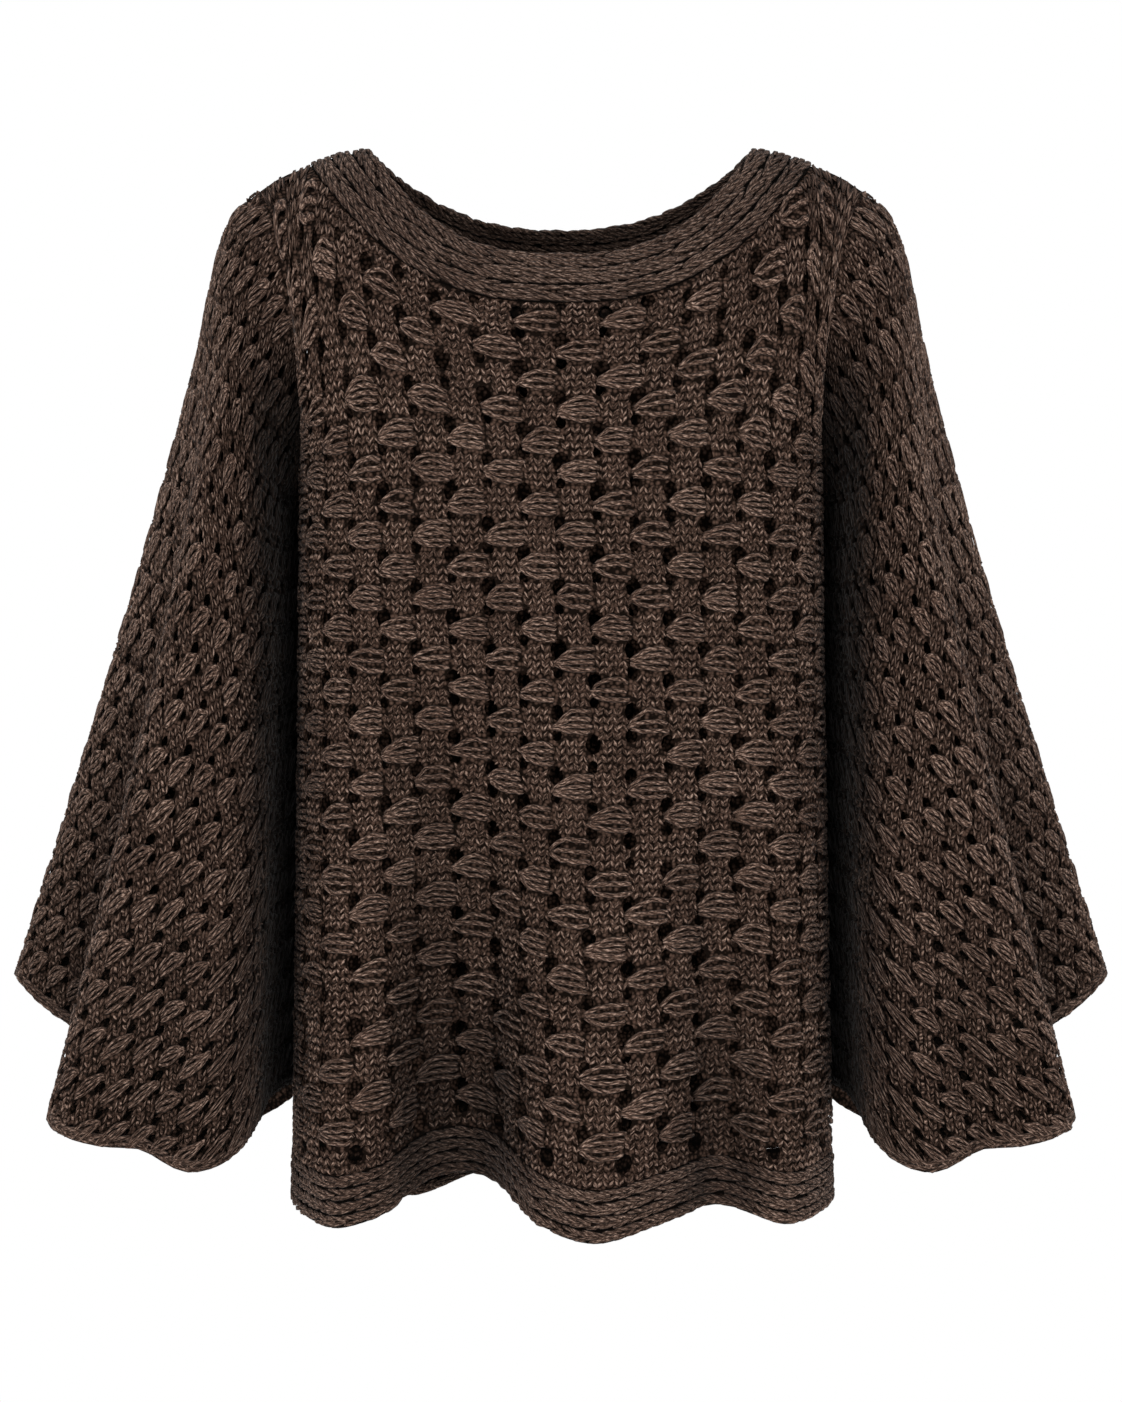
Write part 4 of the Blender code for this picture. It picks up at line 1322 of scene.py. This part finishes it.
def border_pieces(name, border, start, ground_size, chain, seed):
    """A border's ground, in columns and rows, and its long stitches, from start millimetres below its
    seam. The chain gives the stitches' rows on each ridge, how far across they go, and their length."""
    knit = bpy.context.scene.sweater_knit
    yarn, ground = yarn_materials()
    made = knit_chain(border, start, *chain, knit.border_width / MM, seed)
    chains = piece_named(name + "_chains", *made, yarn, "knit_border")
    made = knit_band(border, start, *ground_size)
    return piece_named(name + "_band", *made, ground, "knit_border"), chains


def knit_edge(name, cloth, seed):
    """The rolled edge of a cuff: its ground, and two rows of long stitches along it."""
    border = Border(cloth, *CUFF_EDGE)
    return border_pieces(name, border, CUFF_EDGE_START, (240, 12), (3, 32.0, 13.0), seed)


class SWEATER_OT_body(Operator):
    """Knits the front and the back in cells of bundles and plain stitches"""

    bl_idname = "sweater.body"
    bl_label = "Front and back"

    def execute(self, context):
        seams = knit_seams("body_seams", body_seams(), "knit_body")
        for name, seed, riders in (("front", 11, seams), ("back", 23, ())):
            # the back's eyelets are all closed hollows with black floors: painted shade
            pattern = BodyPattern(Cloth(body_panel(name), closed=False), pierced=name == "front")
            cells = pattern.cells()
            knit_panel(name, pattern, cells, "knit_body", CUT[name], *BODY_KNIT, riders, seed)
        return {"FINISHED"}


class SWEATER_OT_sleeves(Operator):
    """Knits the two sleeves and their cuffs, with rows that lean down and outwards"""

    bl_idname = "sweater.sleeves"
    bl_label = "Sleeves"

    def execute(self, context):
        for name, mirrored, seed in (("sleeve_left", False, 37), ("sleeve_right", True, 53)):
            seams = knit_seams(name + "_seams", sleeve_seams(mirrored), "knit_sleeve")
            grid = np.concatenate([sleeve_grid(), cuff_grid()[1:]])
            pattern = SleevePattern(Cloth(grid, closed=True, mirrored=mirrored))
            cells = pattern.cells()
            in_cuff = pattern.place(*(cells + 0.5).T)[1] > pattern.run[CAP_ROWS + SLEEVE_ROWS]
            sizes = CUT["sleeve"], *SLEEVE_KNIT
            knit_panel(name, pattern, cells[~in_cuff], "knit_sleeve", *sizes, seams, seed)
            cuff, sizes = name.replace("sleeve", "cuff"), (CUT["cuff"], *SLEEVE_KNIT)
            edge = knit_edge(cuff, Cloth(cuff_grid(), closed=True, mirrored=mirrored), seed)
            knit_panel(cuff, pattern, cells[in_cuff], "knit_border", *sizes, edge, seed + 3)
        return {"FINISHED"}


class SWEATER_OT_borders(Operator):
    """Knits the neckband and the hem band in ridges of long slanting stitches"""

    bl_idname = "sweater.borders"
    bl_label = "Borders"

    def execute(self, context):
        neck = Border(Cloth(neck_ring(), closed=True), *NECKBAND)
        knit_border("neckband", neck, (220, 42), (3, 84.0, 18.0), 71)
        hem = Border(Cloth(hem_ring(), closed=True), *HEM_BAND)
        knit_border("hem_band", hem, (300, 44), (2, 41.0, 15.0), 83)
        return {"FINISHED"}


class SWEATER_OT_stage(Operator):
    """Sets out the pale floor, the soft lights and the camera"""

    bl_idname = "sweater.stage"
    bl_label = "Stage"

    def execute(self, context):
        stage = context.scene.sweater_stage
        middle = Vector(MIDDLE)
        turns = np.linspace(0, 2 * math.pi, FLOOR_CORNERS, endpoint=False)
        ring = [(FLOOR_RADIUS * math.cos(t), FLOOR_RADIUS * math.sin(t), 0) for t in turns]
        mesh = bpy.data.meshes.new("floor")
        mesh.from_pydata(ring, [], [tuple(range(FLOOR_CORNERS))])
        mesh.materials.append(painted_floor_matt(tuple(stage.floor_colour)))
        floor = bpy.data.objects.new("floor", mesh)
        floor.location.z = -stage.floor_drop
        context.scene.collection.objects.link(floor)
        lights = (
            ("main_light", MAIN_LIGHT, stage.key_power),
            ("fill_light", FILL_LIGHT, stage.fill_power),
        )
        for name, place, power in lights:
            data = bpy.data.lights.new(name, "AREA")
            data.shape, data.size, data.energy = "DISK", LIGHT_SIZE, power
            light = bpy.data.objects.new(name, data)
            light.location = place
            light.rotation_euler = (middle - Vector(place)).to_track_quat("-Z", "Y").to_euler()
            context.scene.collection.objects.link(light)
        world = bpy.data.worlds.new("studio")
        world.use_nodes = True
        tree = world.node_tree
        tree.nodes.clear()
        seen = node(tree, "ShaderNodeLightPath").outputs["Is Camera Ray"]
        ends = {"To Min": stage.room_light, "To Max": 1.0}
        strength = node(tree, "ShaderNodeMapRange", ends, Value=seen)
        sky = node(tree, "ShaderNodeBackground", {"Color": (1, 1, 1, 1)}, Strength=strength.outputs[0])
        node(tree, "ShaderNodeOutputWorld", Surface=sky.outputs[0])
        context.scene.world = world
        context.scene.view_settings.view_transform = "Standard"
        data = bpy.data.cameras.new("camera")
        data.sensor_width = 36.0
        data.lens = data.sensor_width * stage.camera_distance / (PHOTO_HEIGHT * SCALE)
        data.clip_end = 50
        camera = bpy.data.objects.new("camera", data)
        camera.location = middle - Vector((0, stage.camera_distance, 0))
        camera.rotation_euler = (math.pi / 2, 0, 0)
        context.scene.collection.objects.link(camera)
        context.scene.camera = camera
        return {"FINISHED"}


class SWEATER_PT_panel(Panel):
    """The sweater's pieces and sizes"""

    bl_idname = "SWEATER_PT_panel"
    bl_label = "Open-Knit Sweater"
    bl_space_type = "VIEW_3D"
    bl_region_type = "UI"
    bl_category = "Sweater"

    def draw(self, context):
        for name in GROUPS:
            box, group = self.layout.box(), getattr(context.scene, name)
            for size in group.__annotations__:
                box.prop(group, size)
        for operator in OPERATORS:
            self.layout.operator(operator.bl_idname)


OPERATORS = (SWEATER_OT_body, SWEATER_OT_sleeves, SWEATER_OT_borders, SWEATER_OT_stage)
GROUPS = {"sweater_knit": SweaterKnit, "sweater_yarn": SweaterYarn, "sweater_stage": SweaterStage}


def register():
    """Registers the property groups, the operators and the panel."""
    for made in (*GROUPS.values(), *OPERATORS, SWEATER_PT_panel):
        bpy.utils.register_class(made)
    for name, group in GROUPS.items():
        setattr(bpy.types.Scene, name, PointerProperty(type=group))


def unregister():
    """Takes them back."""
    for name in GROUPS:
        delattr(bpy.types.Scene, name)
    for made in (SWEATER_PT_panel, *reversed(OPERATORS), *GROUPS.values()):
        bpy.utils.unregister_class(made)


def main():
    """Knits the whole sweater and sets its stage."""
    register()
    for name in ("body", "sleeves", "borders", "stage"):
        getattr(bpy.ops.sweater, name)()
    bpy.context.view_layer.update()


if __name__ == "__main__":
    main()
